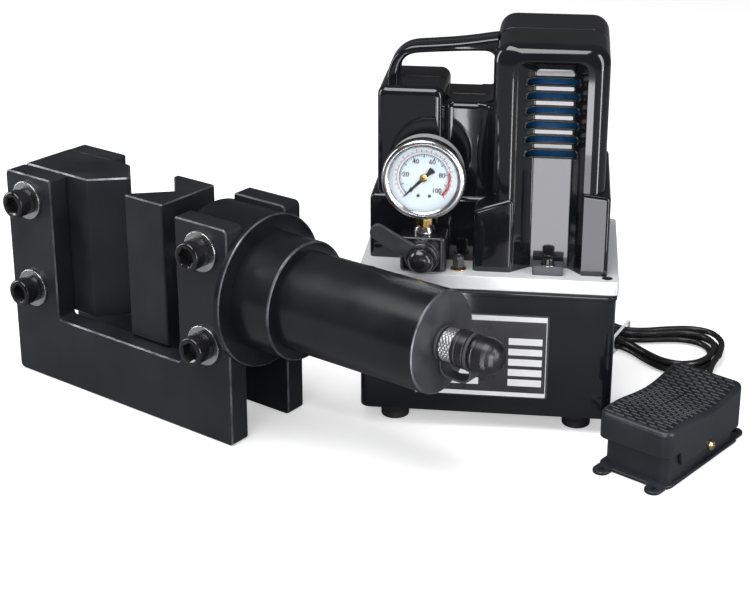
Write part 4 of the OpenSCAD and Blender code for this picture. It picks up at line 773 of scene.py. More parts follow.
def knurled_ring(n=108, bands=21):
    """The coupler's sleeve with its diamond knurl."""
    knurl = []
    for j in range(bands + 1):
        z = 5.3 + 9.0 * j / bands
        ring = []
        for i, (x, y) in enumerate(circle(1, n)):
            a, b = 18 * math.tau * i / n + z * 2.2, 18 * math.tau * i / n - z * 2.2
            r = 13.4 - 0.75 * (1 - abs(math.cos(a / 2)) * abs(math.cos(b / 2)))
            ring.append((r * x, r * y))
        knurl.append((ring, z))
    return stacked(n, (12.3, 4.5), (13.1, 4.9), *knurl, (13.1, 14.6), (12.4, 15), (9.9, 15.05))


def dress_coupling():
    place = along_x(305)
    neck = eased_turn(64, 0.3, (8.7, -9), (8.7, 0), (9.5, 0), (9.5, 5.2), (10, 5.2))
    nose = eased_turn(64, 0.4, (10, 14.9), (10, 21), (8, 23), (8, 35), (7, 37), (3.6, 37), (3.6, 4))
    piece("coupler_knurl", together(neck.marked(1), knurled_ring(), nose.marked(1)), ["knurl_zinc", "nickel"],
          place=place, nodes="coupler_nipple", sharp=50, slot="nickel")
    cap = eased_turn(80, 0.7, (10.3, 0), (14.2, 0), (15, 0.8), (15, 3.4), (14.6, 3.8), (14.6, 5.2), (15, 5.6),
                     (15, 11.2), (12.3, 12), (12.3, 15), (13.8, 15.5), (14.2, 16.5), (14.2, 18), (13.6, 18.4),
                     (13.6, 20), (14, 20.4), (14, 27), (13.3, 30.5), (11.8, 33.6), (9.4, 36), (6.4, 37.4),
                     (3.2, 37.9), (0, 38), (0, 25.2), (10.3, 25), (10.3, 0))
    piece("dust_cap_body", cap, "cap_rubber", body="cap", place=along_x(320.4), nodes="dust_cap", slot="black_rubber")
    bend = [math.radians(15 * i) for i in range(7)]
    line = [(1.6, -11.5), (1.6, -14)] + [(9.6 - 8 * math.cos(a), -17 - 8 * math.sin(a)) for a in bend]
    line += [(15.2, -25)] + [(20.8 + 8 * math.sin(a), -17 - 8 * math.cos(a)) for a in bend]
    line += [(28.8, -15), (28.8, -13.4)]
    rings = [[(305 + x + way.y * a, RAM_Y + b, RAM_Z + z - way.x * a) for a, b in box_outline(-1, -6, 1, 6, 0.6, 3)]
             for (x, z), way in zip(line, directions([Vector(p) for p in line]))]
    strap = together(washer(56, 0.5, 9.9, 14, 0.6, 3).placed(place),
                     washer(56, 0.5, 12.9, 15.6, 27.7, 30.1).placed(place), loft(rings))
    piece("cap_strap_loop", strap, "strap_rubber", nodes="cap_strap", slot="black_rubber",
          bends=("frame", "cap", (0.3096, 0.036, 0.126), (0.3310, 0.036, 0.126)))


# ---------------------------------------------------------------- oil pump: tank and top plate
def corners(x, y):
    return [(i * x, j * y) for i in (-1, 1) for j in (-1, 1)]


PLATE_LOW = 126
SCREWS_AT, FEET_AT = corners(97, 67), corners(77, 55)
BRACKET_SCREW, VALVE, MOTOR_X = (48.5, -62.5), (-53.4, -58), 46


def well(x, y, r, low, high, steps=40):
    """A cutter for an upright round hole."""
    return rod(r, low, high, steps).placed(shift(x, y, 0))


def cap_screw(head_r, head_h, socket, shank_r=2.5, shank_l=17, n=48):
    """A small socket head screw that stands on z = 0."""
    hole = hexagon(socket, n)
    return stacked(n, (0.001, -shank_l), (shank_r - 0.5, -shank_l), (shank_r, 0.6 - shank_l), (shank_r, 0),
                   (head_r - 0.1, 0), (head_r, 0.2), (head_r, head_h - 0.7), (head_r - 0.25, head_h - 0.2),
                   (head_r - 0.8, head_h), (socket / 2 + 0.5, head_h), (hole, head_h - 0.3), (hole, 1.5), (0.001, 1.2))


def dress_tank():
    wall, lip = slab(105, 75, 8, 10, 14, 121, edge=0.4, low_edge=1.2), slab(106, 75.5, 8, 10, 120, 124, edge=0.7)
    hollow = slab(103, 73, 6, 8, 16, 130, edge=0.2)
    piece("oil_tank_shell", wall, "tank_enamel", place=PUMP, nodes="oil_tank", cutters=[hollow])
    piece("oil_tank_lip", lip, "tank_enamel", place=PUMP, cutters=[hollow])
    pads = [prism(box_outline(x - 7, y - 7, x + 7, y + 7, 1, 3), 110, 123.9, edge=0.4) for x, y in corners(96.5, 66.5)]
    piece("oil_tank_pads", together(*pads), "tank_enamel", place=PUMP,
          cutters=[well(x, y, 2.6, 100, 130, 24) for x, y in SCREWS_AT])
    piece("tank_gasket_sheet", slab(105, 75, 8, 8, 124, PLATE_LOW, edge=0.35), "black_rubber", place=PUMP,
          nodes="tank_gasket", cutters=[slab(91, 61, 3, 4, 122, 128, edge=0.2)])
    holes = [well(MOTOR_X, 0, 16, 120, 145), well(*VALVE, 4, 120, 145), well(*BRACKET_SCREW, 2.7, 120, 145)]
    for x, y in SCREWS_AT:
        holes += [well(x, y, 4.65, 134, 145), well(x, y, 2.7, 120, 140)]
    holes += [well(MOTOR_X + x, y, 3.3, 120, 145) for x, y in corners(35, 30)]
    piece("tank_top_slab", slab(106.5, 76, 4, 8, PLATE_LOW, DECK, edge=0.8, steps=2), "plate_aluminium", place=PUMP,
          nodes="tank_top_plate", cutters=holes)
    screws = repeated(cap_screw(4.5, 3.8, 4), [shift(x, y, 134) for x, y in SCREWS_AT])
    screws.put(cap_screw(5, 5.6, 5), shift(*BRACKET_SCREW, 146.5))
    piece("plate_screw_set", screws, "bolt_black", place=PUMP, nodes="plate_screws")
    piece("bracket_washer", washer(40, 0.15, 2.7, 6.2, 0, 0.5), "zinc", place=PUMP @ shift(*BRACKET_SCREW, 146.02))
    foot = eased_turn(64, 0.6, (0, 7), (7, 7), (7, 0), (11.4, 0), (12, 0.8), (12, 5.5), (12.6, 7.2), (14, 9.6),
                      (14.5, 11), (14.5, 14), (3.3, 14))
    piece("rubber_foot_set", repeated(foot, [shift(x, y, 0) for x, y in FEET_AT]), "black_rubber", place=PUMP,
          nodes="rubber_feet")
    plug = together(eased_turn(48, 0.2, (0, -8), (5, -8), (5, 0), (7.5, 0), (7.5, 1), (0, 1)),
                    nut_form(11, 1.5, 1).placed(shift(0, 0, 1)), rod(2, 1, 2.2))
    piece("drain_plug_hex", plug, "bolt_black", place=PUMP @ shift(-105, 0, 41) @ turn(-90, "Y"), nodes="drain_plug")


def dress_rating_plate():
    """The plate's lettering is left out: its stripes and its value fields stay, blank."""
    face = PUMP @ to_front(0, -75, 0)
    piece("rating_plate_film", prism(box_outline(-59.5, 30, 52, 105, 2, 5), 0, 0.5, edge=0.12), "label_film",
          place=face, nodes="rating_plate")
    fields = [(-57.8, 99.3, 50.3, 103.7), (-57.8, 31.2, 50.3, 35.0), (-57.8, 35, -57.3, 99.3), (49.8, 35, 50.3, 99.3)]
    for low, high in ((78.3, 84.3), (68.9, 74.8), (59.5, 65.6), (50.2, 56.3), (41, 47.1)):
        fields += [(19, low, 46.8, high), (-33, low, -5.4, high)]
    prints = [prism(box_outline(*field, 0.24, 2), 0.45, 0.56, edge=0.02, steps=1) for field in fields]
    piece("rating_plate_fields", together(*prints), "label_white", place=face, slot="label_film")


# ---------------------------------------------------------------- oil pump: moulded cover
# Pieces of the cover are built lying down: local X and Y are the pump's x and z, local Z is the depth from the
# parting line between its two halves.
BELOW = 130                     # cutters start here, under the deck
WALL = 3
TOWER_R, TOWER_TOP = 92, 328    # the tower stands from x = 0 to 92
BOX_TOP, MIDDLE_TOP, SKIRT_TOP = 284.6, 270.7, 194
SLOTS, SLOT_PITCH, SLOT_Z, SLOT_HALF = 6, 12, 297, 3.25
SLOT_LEFT, SLOT_RIGHT, SLOT_R = 26, 69, 3.1


def half_shell(left, right, tops, r, depth, round_by, steps=8, joint=0.6):
    """Half of a moulded block that stands on the deck; tops gives the heights of its left and right upper corners,
    and its far edge is round."""
    def outline(inset):
        foot_left, foot_right, *top = drawn_in([(left, DECK), (right, DECK), (right, tops[1]), (left, tops[0])], inset)
        soft = max(r - inset, 0.4)
        return rounded([(foot_left[0], DECK, 0.3), (foot_right[0], DECK, 0.3), (*top[0], soft), (*top[1], soft)], steps)
    rings = [at_height(outline(joint * (1 - k)), 0.1 + joint * k) for k in (0, 0.7, 1)]
    rings += [at_height(outline(round_by * (1 - math.cos(t))), depth - round_by * (1 - math.sin(t)))
              for t in quarter(steps)]
    return loft(rings)


def tower_half(depth, left, right, top, round_y, corner_r, steps=12):
    """The tower, whose left, right and top edges are rounded over different widths."""
    def ring(x0, x1, z1, r, height):
        return at_height(rounded([(x0, DECK, 0.3), (x1, DECK, 0.3), (x1, z1, r), (x0, z1, r)], 8), height)
    rings = [ring(inset, TOWER_R - inset, TOWER_TOP - inset, corner_r, z)
             for inset, z in ((0.6, 0.1), (0.2, 0.3), (0, 0.7))]
    for t in quarter(steps):
        u = 1 - math.cos(t)
        rings.append(ring(left * u, TOWER_R - right * u, TOWER_TOP - top * u, corner_r - 4 * u,
                          depth - round_y * (1 - math.sin(t))))
    return loft(rings)


def recess_cut():
    """The tower's front recess; its floor (mark 1) shines differently from its slopes."""
    form = loft([at_height(rounded([(x0, BELOW, 0.3), (x1, BELOW, 0.3), (x1, top, r), (x0, top, r)], 8), depth)
                 for x0, x1, top, r, depth in (
                     (34.2, 63.8, 306.3, 4, 50), (33.2, 64.8, 307.3, 4.4, 50.3), (32.4, 65.8, 308.1, 5, 51),
                     (20.3, 74.7, 315.2, 8, 61.7), (19.6, 75.4, 315.9, 9, 62.6), (19, 76, 316.5, 9, 70))])
    form.marks[-2] = 1
    return form


def slot_cuts():
    middles = [SLOT_Z - SLOT_PITCH * i for i in range(SLOTS)]
    return [box_cut(SLOT_LEFT, SLOT_RIGHT, z - SLOT_HALF, z + SLOT_HALF, 30, 72, SLOT_R, 6) for z in middles]


def slot_lips():
    """Rounded rims that follow each slot over the recess's floor and slopes."""
    lips = Form()
    for i in range(SLOTS):
        z = SLOT_Z - SLOT_PITCH * i
        outline = box_outline(SLOT_LEFT, z - SLOT_HALF, SLOT_RIGHT, z + SLOT_HALF, SLOT_R, 8)
        fine = divided(outline, lambda i, a, b: max(1, int(math.dist(a, b) / 3)))
        path = [(x, y, 50.2 + (max(0, 33 - x) / 13 + max(0, x - 65) / 10) * 12) for x, y in fine]
        lips.put(closed_tube(path, 1.1, 12))
    return lips


def fillet(x, z, dx, dz, r, y0, y1, steps=8, over=1.5):
    """A concave fillet in a corner of the x-z view, from depth y0 to y1."""
    arc = [(x + dx * r * (1 - math.sin(t)), z + dz * r * (1 - math.cos(t))) for t in quarter(steps)]
    outline = arc + [(x - dx * over, z + dz * r), (x - dx * over, z - dz * over), (x + dx * r, z - dz * over)]
    area = sum(a[0] * b[1] - b[0] * a[1] for a, b in zip(outline, outline[1:] + outline[:1]))
    return loft([at_height(outline if area > 0 else outline[::-1], y) for y in (y0, y1)])


def upright_sweep(x, depth, reach_x, reach_y, high=MIDDLE_TOP, steps=10):
    """A concave sweep between two upright faces that meet at x and depth."""
    curve = [(x - reach_x * (1 - math.sin(t)), depth + reach_y * (1 - math.cos(t))) for t in quarter(steps)]
    behind = x + math.copysign(2, reach_x)
    rings = []
    for z, cut in ((DECK, 0), (high - 4, 0), (high - 1.2, 1.2), (high, 4)):
        rings.append([(a, z, max(depth - 2, b - cut)) for a, b in curve] +
                     [(behind, z, depth + reach_y), (behind, z, depth - 2), (x - reach_x, z, depth - 2)])
    return loft(rings)


# share of the handle's way to the tower, height over its foot, thickness
HANDLE_LINE = [(0, 0, 10), (0, 14, 10), (0.011, 22, 9), (0.043, 30, 8), (0.108, 36.5, 7), (0.204, 40, 7),
               (0.376, 41.5, 7), (0.591, 43, 7.5), (0.785, 44.5, 9), (0.93, 45.6, 11), (1, 46, 12)]
HANDLE_X, HANDLE_REACH, HANDLE_FOOT = -85, 86.5, DECK + 132


def handle_half():
    """Half of the carry handle, a round-edged band along its middle line."""
    line = smooth_path([(HANDLE_X + HANDLE_REACH * u, HANDLE_FOOT + h, t) for u, h, t in HANDLE_LINE], 5)
    rings = []
    for i, p in enumerate(line):
        a, b = line[max(i - 1, 0)], line[min(i + 1, len(line) - 1)]
        way = Vector((b.x - a.x, b.y - a.y)).normalized()
        h = p.z / 2
        rings.append([(p.x + way.y * s, p.y - way.x * s, d) for s, d in
                      rounded([(-h, 0.1, 0.3), (h, 0.1, 0.3), (h, 14, 3.4), (-h, 14, 3.4)], 6)])
    return loft(rings)


def cover_half(tag, place, tower, hollow, box, middle, skirt, flare, cuts=(), slots=()):
    """One half of the cover. The depths of its tower, hollow, box, middle, skirt and flares follow its tag."""
    gloss = ["cover_gloss", "recess_gloss"]

    def moulding(name, form, cutters=(), finishes="cover_gloss", **more):
        piece(f"cover_{tag}_{name}", form, finishes, place=place, sharp=50, cutters=cutters, **more)
    inside = prism(rounded([(WALL, BELOW, 0.3), (TOWER_R - WALL, BELOW, 0.3), (TOWER_R - WALL, TOWER_TOP - WALL, 13),
                            (WALL, TOWER_TOP - WALL, 13)], 8), -5, hollow, edge=0.05, steps=1)
    moulding("tower", tower_half(*tower), [inside, *cuts, *slots], gloss, nodes="cover_" + tag)
    for name, x0, x1, top, r, depth, round_by, in0, in1 in (
            ("left_box", -95, -40, BOX_TOP, 8, box, 7, -92, -43),
            ("middle", -47, 2.5, MIDDLE_TOP, 0.8, middle, 5, -44, 5),
            ("skirt", -100.5, 2.5, SKIRT_TOP, 5, skirt, 4, -92, 5)):
        moulding(name, half_shell(x0, x1, (top, top), r, depth, round_by),
                 [box_cut(in0, in1, BELOW, top - WALL, -5, depth - WALL)])
    moulding("right_flare", half_shell(70, 97, (209, 206), 4, flare, 3.5), [inside, *cuts], gloss)
    moulding("left_flare", half_shell(-13, 20, (191, 202), 4, flare, 3.5), [inside, *cuts], gloss)
    webs = together(upright_sweep(0, middle, 13, min(13, tower[0] - middle - 13)),
                    fillet(0, MIDDLE_TOP, -1, 1, 9, 0.3, middle - 6), fillet(-40, MIDDLE_TOP, 1, 1, 5, 0.3, 14),
                    fillet(0, 310.5, -1, -1, 8, 0.3, 13.2))
    if tag == "front":
        webs.put(upright_sweep(-40, middle, -7, 6))
    moulding("webs", webs)
    moulding("handle", handle_half())


def dress_cover():
    front = PUMP @ turn(90, "X")
    cover_half("front", front, (62, 19, 13, 12, 13, 15), hollow=47, box=38, middle=30, skirt=42, flare=64.5,
               cuts=[recess_cut()], slots=slot_cuts())
    piece("cooling_slot_lips", slot_lips(), "lip_black", place=front, sharp=60, slot="cover_gloss")
    cover_half("rear", front @ Matrix.Scale(-1, 4, (0, 0, 1)), (62, 9, 9, 9, 9, 14), hollow=59, box=38, middle=34,
               skirt=60.5, flare=64.5)
    gland = eased_turn(56, 0.4, (0, -1), (7, -1), (7, 3), (6.4, 4), (5.6, 4.4), (5.6, 5.4), (5.3, 5.8), (5.3, 6.8),
                       (5, 7.2), (5, 8.2), (4.7, 8.6), (4.7, 9.6), (4.4, 10), (4.2, 12), (2.9, 12), (2.9, 4), (0, 4))
    piece("lead_glands", repeated(gland, [to_back(x, 60.5, 165) for x in (-28, -70)]), "black_rubber", place=PUMP)


def dress_motor():
    case = eased_turn(96, 1.2, (10, 0), (38, 0), (38, 144), (32, 150), (10, 150), (10, 146), (13.3, 146), (13.3, 134),
                      (17, 134), (17, 147), (30, 147), (35, 142), (35, 2), (10, 2), (10, 0))
    vents = [box_cut(-3, 3, 22, 52, 120, 132).placed(turn(45 * i, "Z")) for i in range(8) if i != 4]
    piece("motor_case_can", case, "motor_blue", place=PUMP @ shift(MOTOR_X, 0, 152), nodes="motor_case", cutters=vents)
    flange = eased_turn(96, 0.5, (9, 0), (38, 0), (38, 13.9), (13.4, 13.9), (13.4, 3), (9, 3), (9, 0))
    piece("motor_flange_disc", flange, "plate_aluminium", place=PUMP @ shift(MOTOR_X, 0, DECK), nodes="motor_flange")


def dress_deck_parts():
    piece("cover_bracket_block", prism(box_outline(36, -68, 61, -54, 1.6, 4), DECK, 146, edge=0.7), "bracket_grey",
          place=PUMP, nodes="cover_bracket", cutters=[well(*BRACKET_SCREW, 2.7, 130, 150)], slot="device_grey")
    vent = together(eased_turn(48, 0.2, (0, 0), (6.5, 0), (6.5, 1.2), (0, 1.2)).marked(1),
                    nut_form(9, 11, 2.4).placed(shift(0, 0, 1.2)), rod(2.4, 1.2, 11.4))
    piece("vent_plug_body", vent, ["lever_charcoal", "yellow_zinc"], place=PUMP @ shift(-24.6, -62, DECK),
          nodes="vent_plug", slot="grey_iron")


# ---------------------------------------------------------------- release valve and gauge
GAUGE_Z, VALVE_TOP, SPINDLE_Z = 217.5, 168, 153
ZERO, DEGREES, FULL = 225, 270, 100                     # the dial's scale: angle of its zero, sweep, last number
MARK_LOW = 0.06                                         # a printed mark's thickness


def dress_valve():
    at = PUMP @ shift(*VALVE, 0)
    port, spindle_way = rod(7.5, 0, 20).placed(shift(-7, 0, 152) @ turn(-90, "Y")), rod(6.05, 0, 20, 40)
    piece("valve_body_block", slab(19, 14, 5, 8, DECK, VALVE_TOP, edge=2, steps=4), "bolt_black", place=at,
          nodes="valve_body", cutters=[port, spindle_way.placed(to_front(0, 0, SPINDLE_Z))], slot="blackened_steel")
    neck = eased_turn(64, 0.5, (0, 0), (9, 0), (9, 2), (8.6, 3), (7.5, 6), (0, 6))
    piece("valve_neck_ring", neck, "nickel", place=at @ shift(0, 0, VALVE_TOP), nodes="valve_neck")
    stem = together(nut_form(13, 9.2, 3), eased_turn(48, 0.3, (0, 0.2), (3.4, 0.2), (3.4, 9), (4.5, 9.4), (4.5, 17.5),
                                                     (0, 17.5)))
    piece("gauge_stem_hex", stem, "brass", place=at @ shift(0, 0, VALVE_TOP + 6), nodes="gauge_stem")
    hub = turned(eased([(0, 0), (14.5, 0), (14.5, 4), (13.8, 5.4), (13, 5.4), (13, 8.4), (12, 9.4), (11, 9.4), (11, 12),
                        (10.2, 15.5), (8, 18.6), (4.5, 20.6), (0, 21.3)], 1.4, 4), 80)
    arm = prism(rounded([(-2, -7, 2), (48, -7, 6), (48, 7, 6), (-2, 7, 2)], 8), 5.2, 9.2, edge=1.2, steps=4)
    spindle = turned([(0, -13), (5.6, -13), (6, -12.6), (6, 0.2), (0, 0.2)], 48)
    piece("valve_lever_arm", together(hub.marked(1), arm.placed(turn(149, "Z")), spindle),
          ["lever_charcoal", "bolt_black"], body="lever", place=PUMP @ to_front(VALVE[0], -72.3, SPINDLE_Z),
          nodes="valve_lever", slot="blackened_steel")


def stroke_mark(angle, inner, outer, width, height):
    """A straight mark of a dial, pointing outwards."""
    a = math.radians(angle)
    u, v = Vector((math.cos(a), math.sin(a))), Vector((-math.sin(a), math.cos(a))) * width / 2
    ends = [tuple(p) for p in (u * inner - v, u * outer - v, u * outer + v, u * inner + v)]
    return loft([at_height(ends, height - MARK_LOW), at_height(ends, height)])


def arc_mark(r, width, start, end, height, steps=80):
    """A band of a dial around its middle."""
    low, points = height - MARK_LOW, []
    for i in range(steps + 1):
        a = math.radians(start + (end - start) * i / steps)
        points += [(q * math.cos(a), q * math.sin(a), h) for q, h in
                   ((r - width / 2, low), (r + width / 2, low), (r + width / 2, height), (r - width / 2, height))]
    faces = [(4 * i + k, 4 * i + (k + 1) % 4, 4 * i + 4 + (k + 1) % 4, 4 * i + 4 + k)
             for i in range(steps) for k in range(4)]
    return Form(points, faces + [(0, 1, 2, 3), tuple(4 * steps + k for k in (3, 2, 1, 0))])


def number_form(value, size, x, y, z):
    """A plain number as flat figures, centred on a point."""
    words = bpy.data.curves.new("figures", "FONT")
    words.body, words.size, words.align_x, words.align_y, words.extrude = str(value), size, "CENTER", "CENTER", 0.03
    words.offset = 0.14
    carrier = show("figures", words)
    bpy.context.view_layer.update()
    mesh = bpy.data.meshes.new_from_object(carrier.evaluated_get(bpy.context.evaluated_depsgraph_get()))
    form = Form([(v.co.x + x, v.co.y + y, v.co.z + z) for v in mesh.vertices],
                [tuple(p.vertices) for p in mesh.polygons])
    bpy.data.objects.remove(carrier)
    bpy.data.curves.remove(words)
    bpy.data.meshes.remove(mesh)
    return form


def scales(top):
    """The dial's black scale with its numbers and screws, and its red one with the red end."""
    last, size = ZERO - DEGREES, 3.9 * 1.36
    black, red = arc_mark(20, 0.55, last, ZERO, top), arc_mark(22, 0.4, last, ZERO, top)
    for i in range(51):
        long = i % 5 == 0
        black.put(stroke_mark(ZERO - 5.4 * i, 20 - (2.8 if long else 1.7), 20, 0.9 if long else 0.55, top))
    for value in range(0, FULL + 1, 20):
        a = math.radians(ZERO - DEGREES / FULL * value)
        black.put(number_form(value, size, 14.8 * math.cos(a), 15.2 * math.sin(a), top - 0.03))
    for x in (-4.6, 4.6):
        black.put(rod(1.4, top - MARK_LOW, top, 24), shift(x, -15.4, 0))
    for i in range(28):
        red.put(stroke_mark(ZERO - 10 * i, 22, 24.6 if i % 3 == 0 else 23.5, 0.55, top))
    red.put(arc_mark(20.9, 1.5, last, 14.4, top + 0.02))
    return black, red


def dress_gauge():
    def before(y):
        return PUMP @ shift(VALVE[0], 0, 0) @ to_front(0, -y, GAUGE_Z)
    case = eased_turn(128, 1.0, (0, 0), (30, 0), (32, 2), (32, 24), (30.5, 24), (30.5, 2), (0, 1.9))
    piece("gauge_case_cup", case, "grey_iron", place=before(46), nodes="gauge_case", slot="nickel")
    bezel = turned(eased([(32.3, 0), (34, 0), (34, 7), (33, 9), (31, 10), (29, 9.6), (27.5, 8), (27.5, 7), (32.3, 7),
                          (32.3, 0)], 1.0, 5), 160)
    piece("gauge_bezel_ring", bezel, "brushed_steel", place=before(64), nodes="gauge_bezel", sharp=60, slot="nickel")
    glass = eased_turn(96, 0.3, (0, 0), (30, 0), (30, 1.1), (27.2, 1.5), (0, 1.5))
    piece("gauge_glass_disc", glass, "gauge_glass", place=before(69.4), nodes="gauge_glass")
    disc = turned([(1.3, 0), (30.1, 0), (30.1, 0.95), (1.3, 0.95), (1.3, 0)], 96)
    piece("gauge_dial_disc", disc, "dial_face", place=before(65), nodes="gauge_dial")
    for tone, form in zip(("black", "red"), scales(1.03)):
        piece("gauge_scale_" + tone, form, "dial_" + tone, place=before(65), slot="dial_face")
    blade = prism(rounded([(0, -1.5, 0.1), (21.5, -0.55, 0.1), (23.4, 0, 0.2), (21.5, 0.55, 0.1), (0, 1.5, 0.1),
                           (-5, 1.4, 0.3), (-10, 3.1, 0.6), (-11, 0, 2), (-10, -3.1, 0.6), (-5, -1.4, 0.3)], 3),
                  0, 0.65, edge=0.08, steps=1)
    boss = eased_turn(40, 0.2, (0, -6), (1.25, -6), (1.25, 0), (3.3, 0), (3.3, 0.8), (1.8, 1.0), (1.8, 1.7), (1.4, 1.8),
                      (0, 1.8))
    boss.marks = [int(i > len(boss.marks) * 0.55) for i in range(len(boss.marks))]
    piece("gauge_pointer_blade", together(blade, boss), ["pointer_black", "brass"], body="needle",
          place=before(66.6) @ turn(-135, "Z"), nodes="gauge_pointer")


# ---------------------------------------------------------------- foot switch
LEAD_IN = shift(52, 0, 13) @ turn(90, "Y")              # where the lead enters the base
PIVOT_X, PIVOT_Z = 8, 15
SPRING_AT = (36, 13)


def tread(x, y=0):
    """Height of the treadle's top: high at the front edge, dipping, then a hump towards the rear."""
    u = x / 118
    return 48.5 + 3.2 * u - 3.2 * math.sin(math.tau * (u + 0.12))


def treadle_foot(x, y):
    """Lower edge of the treadle: a short apron in front, deep sides, a notch for the lead."""
    if x > 50 and abs(y) < 7:
        return 24
    if x < -37:
        return 27 if x < -39 else 25.5
    return 14 if x > -35 else 15.2


def plan_ring(half_x, half_y, r, height, over=0, steps=6):
    """A rounded rectangle with many points along its sides, at a height over a function of x and y."""
    def parts(i, a, b):
        along_side = (i + 1) % (steps + 1) == 0
        return (36 if i // (steps + 1) % 2 == 0 else 20) if along_side else 1
    outline = divided(box_outline(-half_x, -half_y, half_x, half_y, r, steps), parts)
    return [(x, y, height(x, y) + over) for x, y in outline]


def treadle_shell():
    """Rings from the middle of the underside, down the inside, up the outside and over the top."""
    rings = [plan_ring(56.5 - inset, 30.5 - inset, max(5.5 - inset, 0.6), tread, -2.5) for inset in (28, 20, 12, 6, 3)]
    rings += [plan_ring(56.5, 30.5, 5.5, tread, -5), plan_ring(56.5, 30.5, 5.5, treadle_foot, 0.5),
              plan_ring(57, 31, 6, treadle_foot), plan_ring(58.6, 32.6, 7.6, treadle_foot),
              plan_ring(59, 33, 8, treadle_foot, 0.5)]
    edge = 3.2
    for inset, drop in [(edge * (1 - math.cos(t)), edge * (1 - math.sin(t))) for t in quarter(6)]:
        rings.append(plan_ring(59 - inset, 33 - inset, 8 - inset * 0.8, tread, -drop))
    rings += [plan_ring(59 - inset, 33 - inset, max(8 - inset * 0.8, 0.6), tread) for inset in (4.2, 9, 16, 24, 31)]
    # mark 1, the top, takes the darker tread finish: painted shade between the grip bars
    form = loft(rings, [0] * 17 + [1] * 4)
    form.marks[-1] = 1
    return form


def grip_bars():
    """Staggered raised dashes across the treadle; those at its sides are drawn in, or left out."""
    half, reach = 3.9, 28.6
    bars = Form()
    bar = prism(box_outline(-0.85, -half, 0.85, half, 0.8, 4), -0.8, 0.95, edge=0.55, steps=3)
    for row in range(30):
        x = -54 + row * 3.7
        slope = math.degrees(math.atan(tread(x + 0.5) - tread(x - 0.5)))
        for k in range(-3, 4):
            y = k * 10.4 + (0 if row % 2 else 5.2)
            if abs(y) + half > reach:
                if abs(y) - half >= 25.5:
                    continue
                y = math.copysign(reach - half, y)
            bars.put(bar, shift(x, y, tread(x)) @ turn(-slope, "Y"))
    return bars


def to_side(s):
    """The base's front side for -1, its back for 1."""
    return to_front if s < 0 else to_back


def dress_base():
    ears, holes = Form(), []
    for x, y in corners(63.5, 24):
        r0, r1, r2, r3 = [6.9 if (x > 0) == (side > 0) else 0.5 for side in (-1, 1, 1, -1)]
        ears.put(prism(rounded([(x - 7, y - 7, r0), (x + 7, y - 7, r1), (x + 7, y + 7, r2), (x - 7, y + 7, r3)], 8),
                       0, 2.9, edge=0.8))
        holes.append(well(x, y, 2.6, -5, 10, 32))
    hollow = [slab(50.5, 27.5, 6, 6, 3, 40, edge=0.2), rod(2.85, -8, 30, 32).placed(LEAD_IN)]
    for name, form, nodes, cutters in (("walls", slab(53, 30, 9, 8, 2.5, 34, edge=0.5), "pedal_base", hollow),
                                       ("flange", slab(59, 33, 10, 8, 0, 3, edge=0.9), (), ()),
                                       ("ears", ears, (), holes)):
        piece("foot_base_" + name, form, "pedal_plastic", place=PEDAL, nodes=nodes, cutters=cutters)
    sleeve = [(2.8, -3), (6, -3), (6, 2), (5.2, 3)]
    for i in range(4):
        wide, narrow, z = 4.6 - 0.22 * i, 3.9 - 0.15 * i, 3.4 + 2.7 * i
        sleeve += [(wide, z), (wide, z + 1.6), (narrow, z + 1.8), (narrow, z + 2.5)]
    piece("foot_lead_sleeve", eased_turn(48, 0.3, *sleeve, (3.5, 14.6), (2.8, 15), (2.8, -3)), "black_rubber",
          place=PEDAL @ LEAD_IN)


def dress_treadle():
    pins = [rod(2.55, -3, 10, 32).placed(to_side(s)(PIVOT_X, s * 27, PIVOT_Z)) for s in (-1, 1)]
    piece("treadle_plate", treadle_shell(), ["pedal_plastic", "tread_painted_shade"], body="treadle", place=PEDAL,
          nodes="pedal_treadle", cutters=pins)
    posts = together(rod(6, 42, 46, 40).placed(shift(*SPRING_AT, 0)),
                     prism(box_outline(21, -15, 27, -9, 0.6, 3), 23.5, 44.5, edge=0.3))
    piece("treadle_posts", posts, "pedal_plastic", body="treadle", place=PEDAL)
    # the bars take a lighter tone than the tread: painted light on their tops
    piece("treadle_grip_bars", grip_bars(), "grip_rubber", body="treadle", place=PEDAL, slot="pedal_plastic")
    screw = eased_turn(48, 0.3, (0, -13), (2, -13), (2, -3.2), (2.5, -3.2), (2.5, 0), (4.3, 0), (4.25, 0.6), (4.0, 1.4),
                       (2.6, 2.4), (0, 2.6))
    places = [to_side(s)(PIVOT_X, s * 33.3, PIVOT_Z) @ turn(28, "Z") for s in (-1, 1)]
    cross = [box_cut(-3, 3, -0.45, 0.45, 1.3, 4, 0.1).placed(place @ turn(across, "Z"))
             for place in places for across in (0, 90)]
    piece("pivot_screw_set", repeated(screw, places), "yellow_zinc", place=PEDAL, nodes="pedal_screws", cutters=cross)
    x, y = SPRING_AT
    spring = [(x + c, y + s, 3.8 + h) for c, s, h in coil(5, 37.2, 140)]
    ends = [tuple(PEDAL @ Vector((x, y, z)) * MM) for z in (4, 41)]
    piece("treadle_spring_coil", tube(spring, 0.7, 8), "spring_steel", place=PEDAL, nodes="treadle_spring",
          bends=("frame", "treadle", *ends))


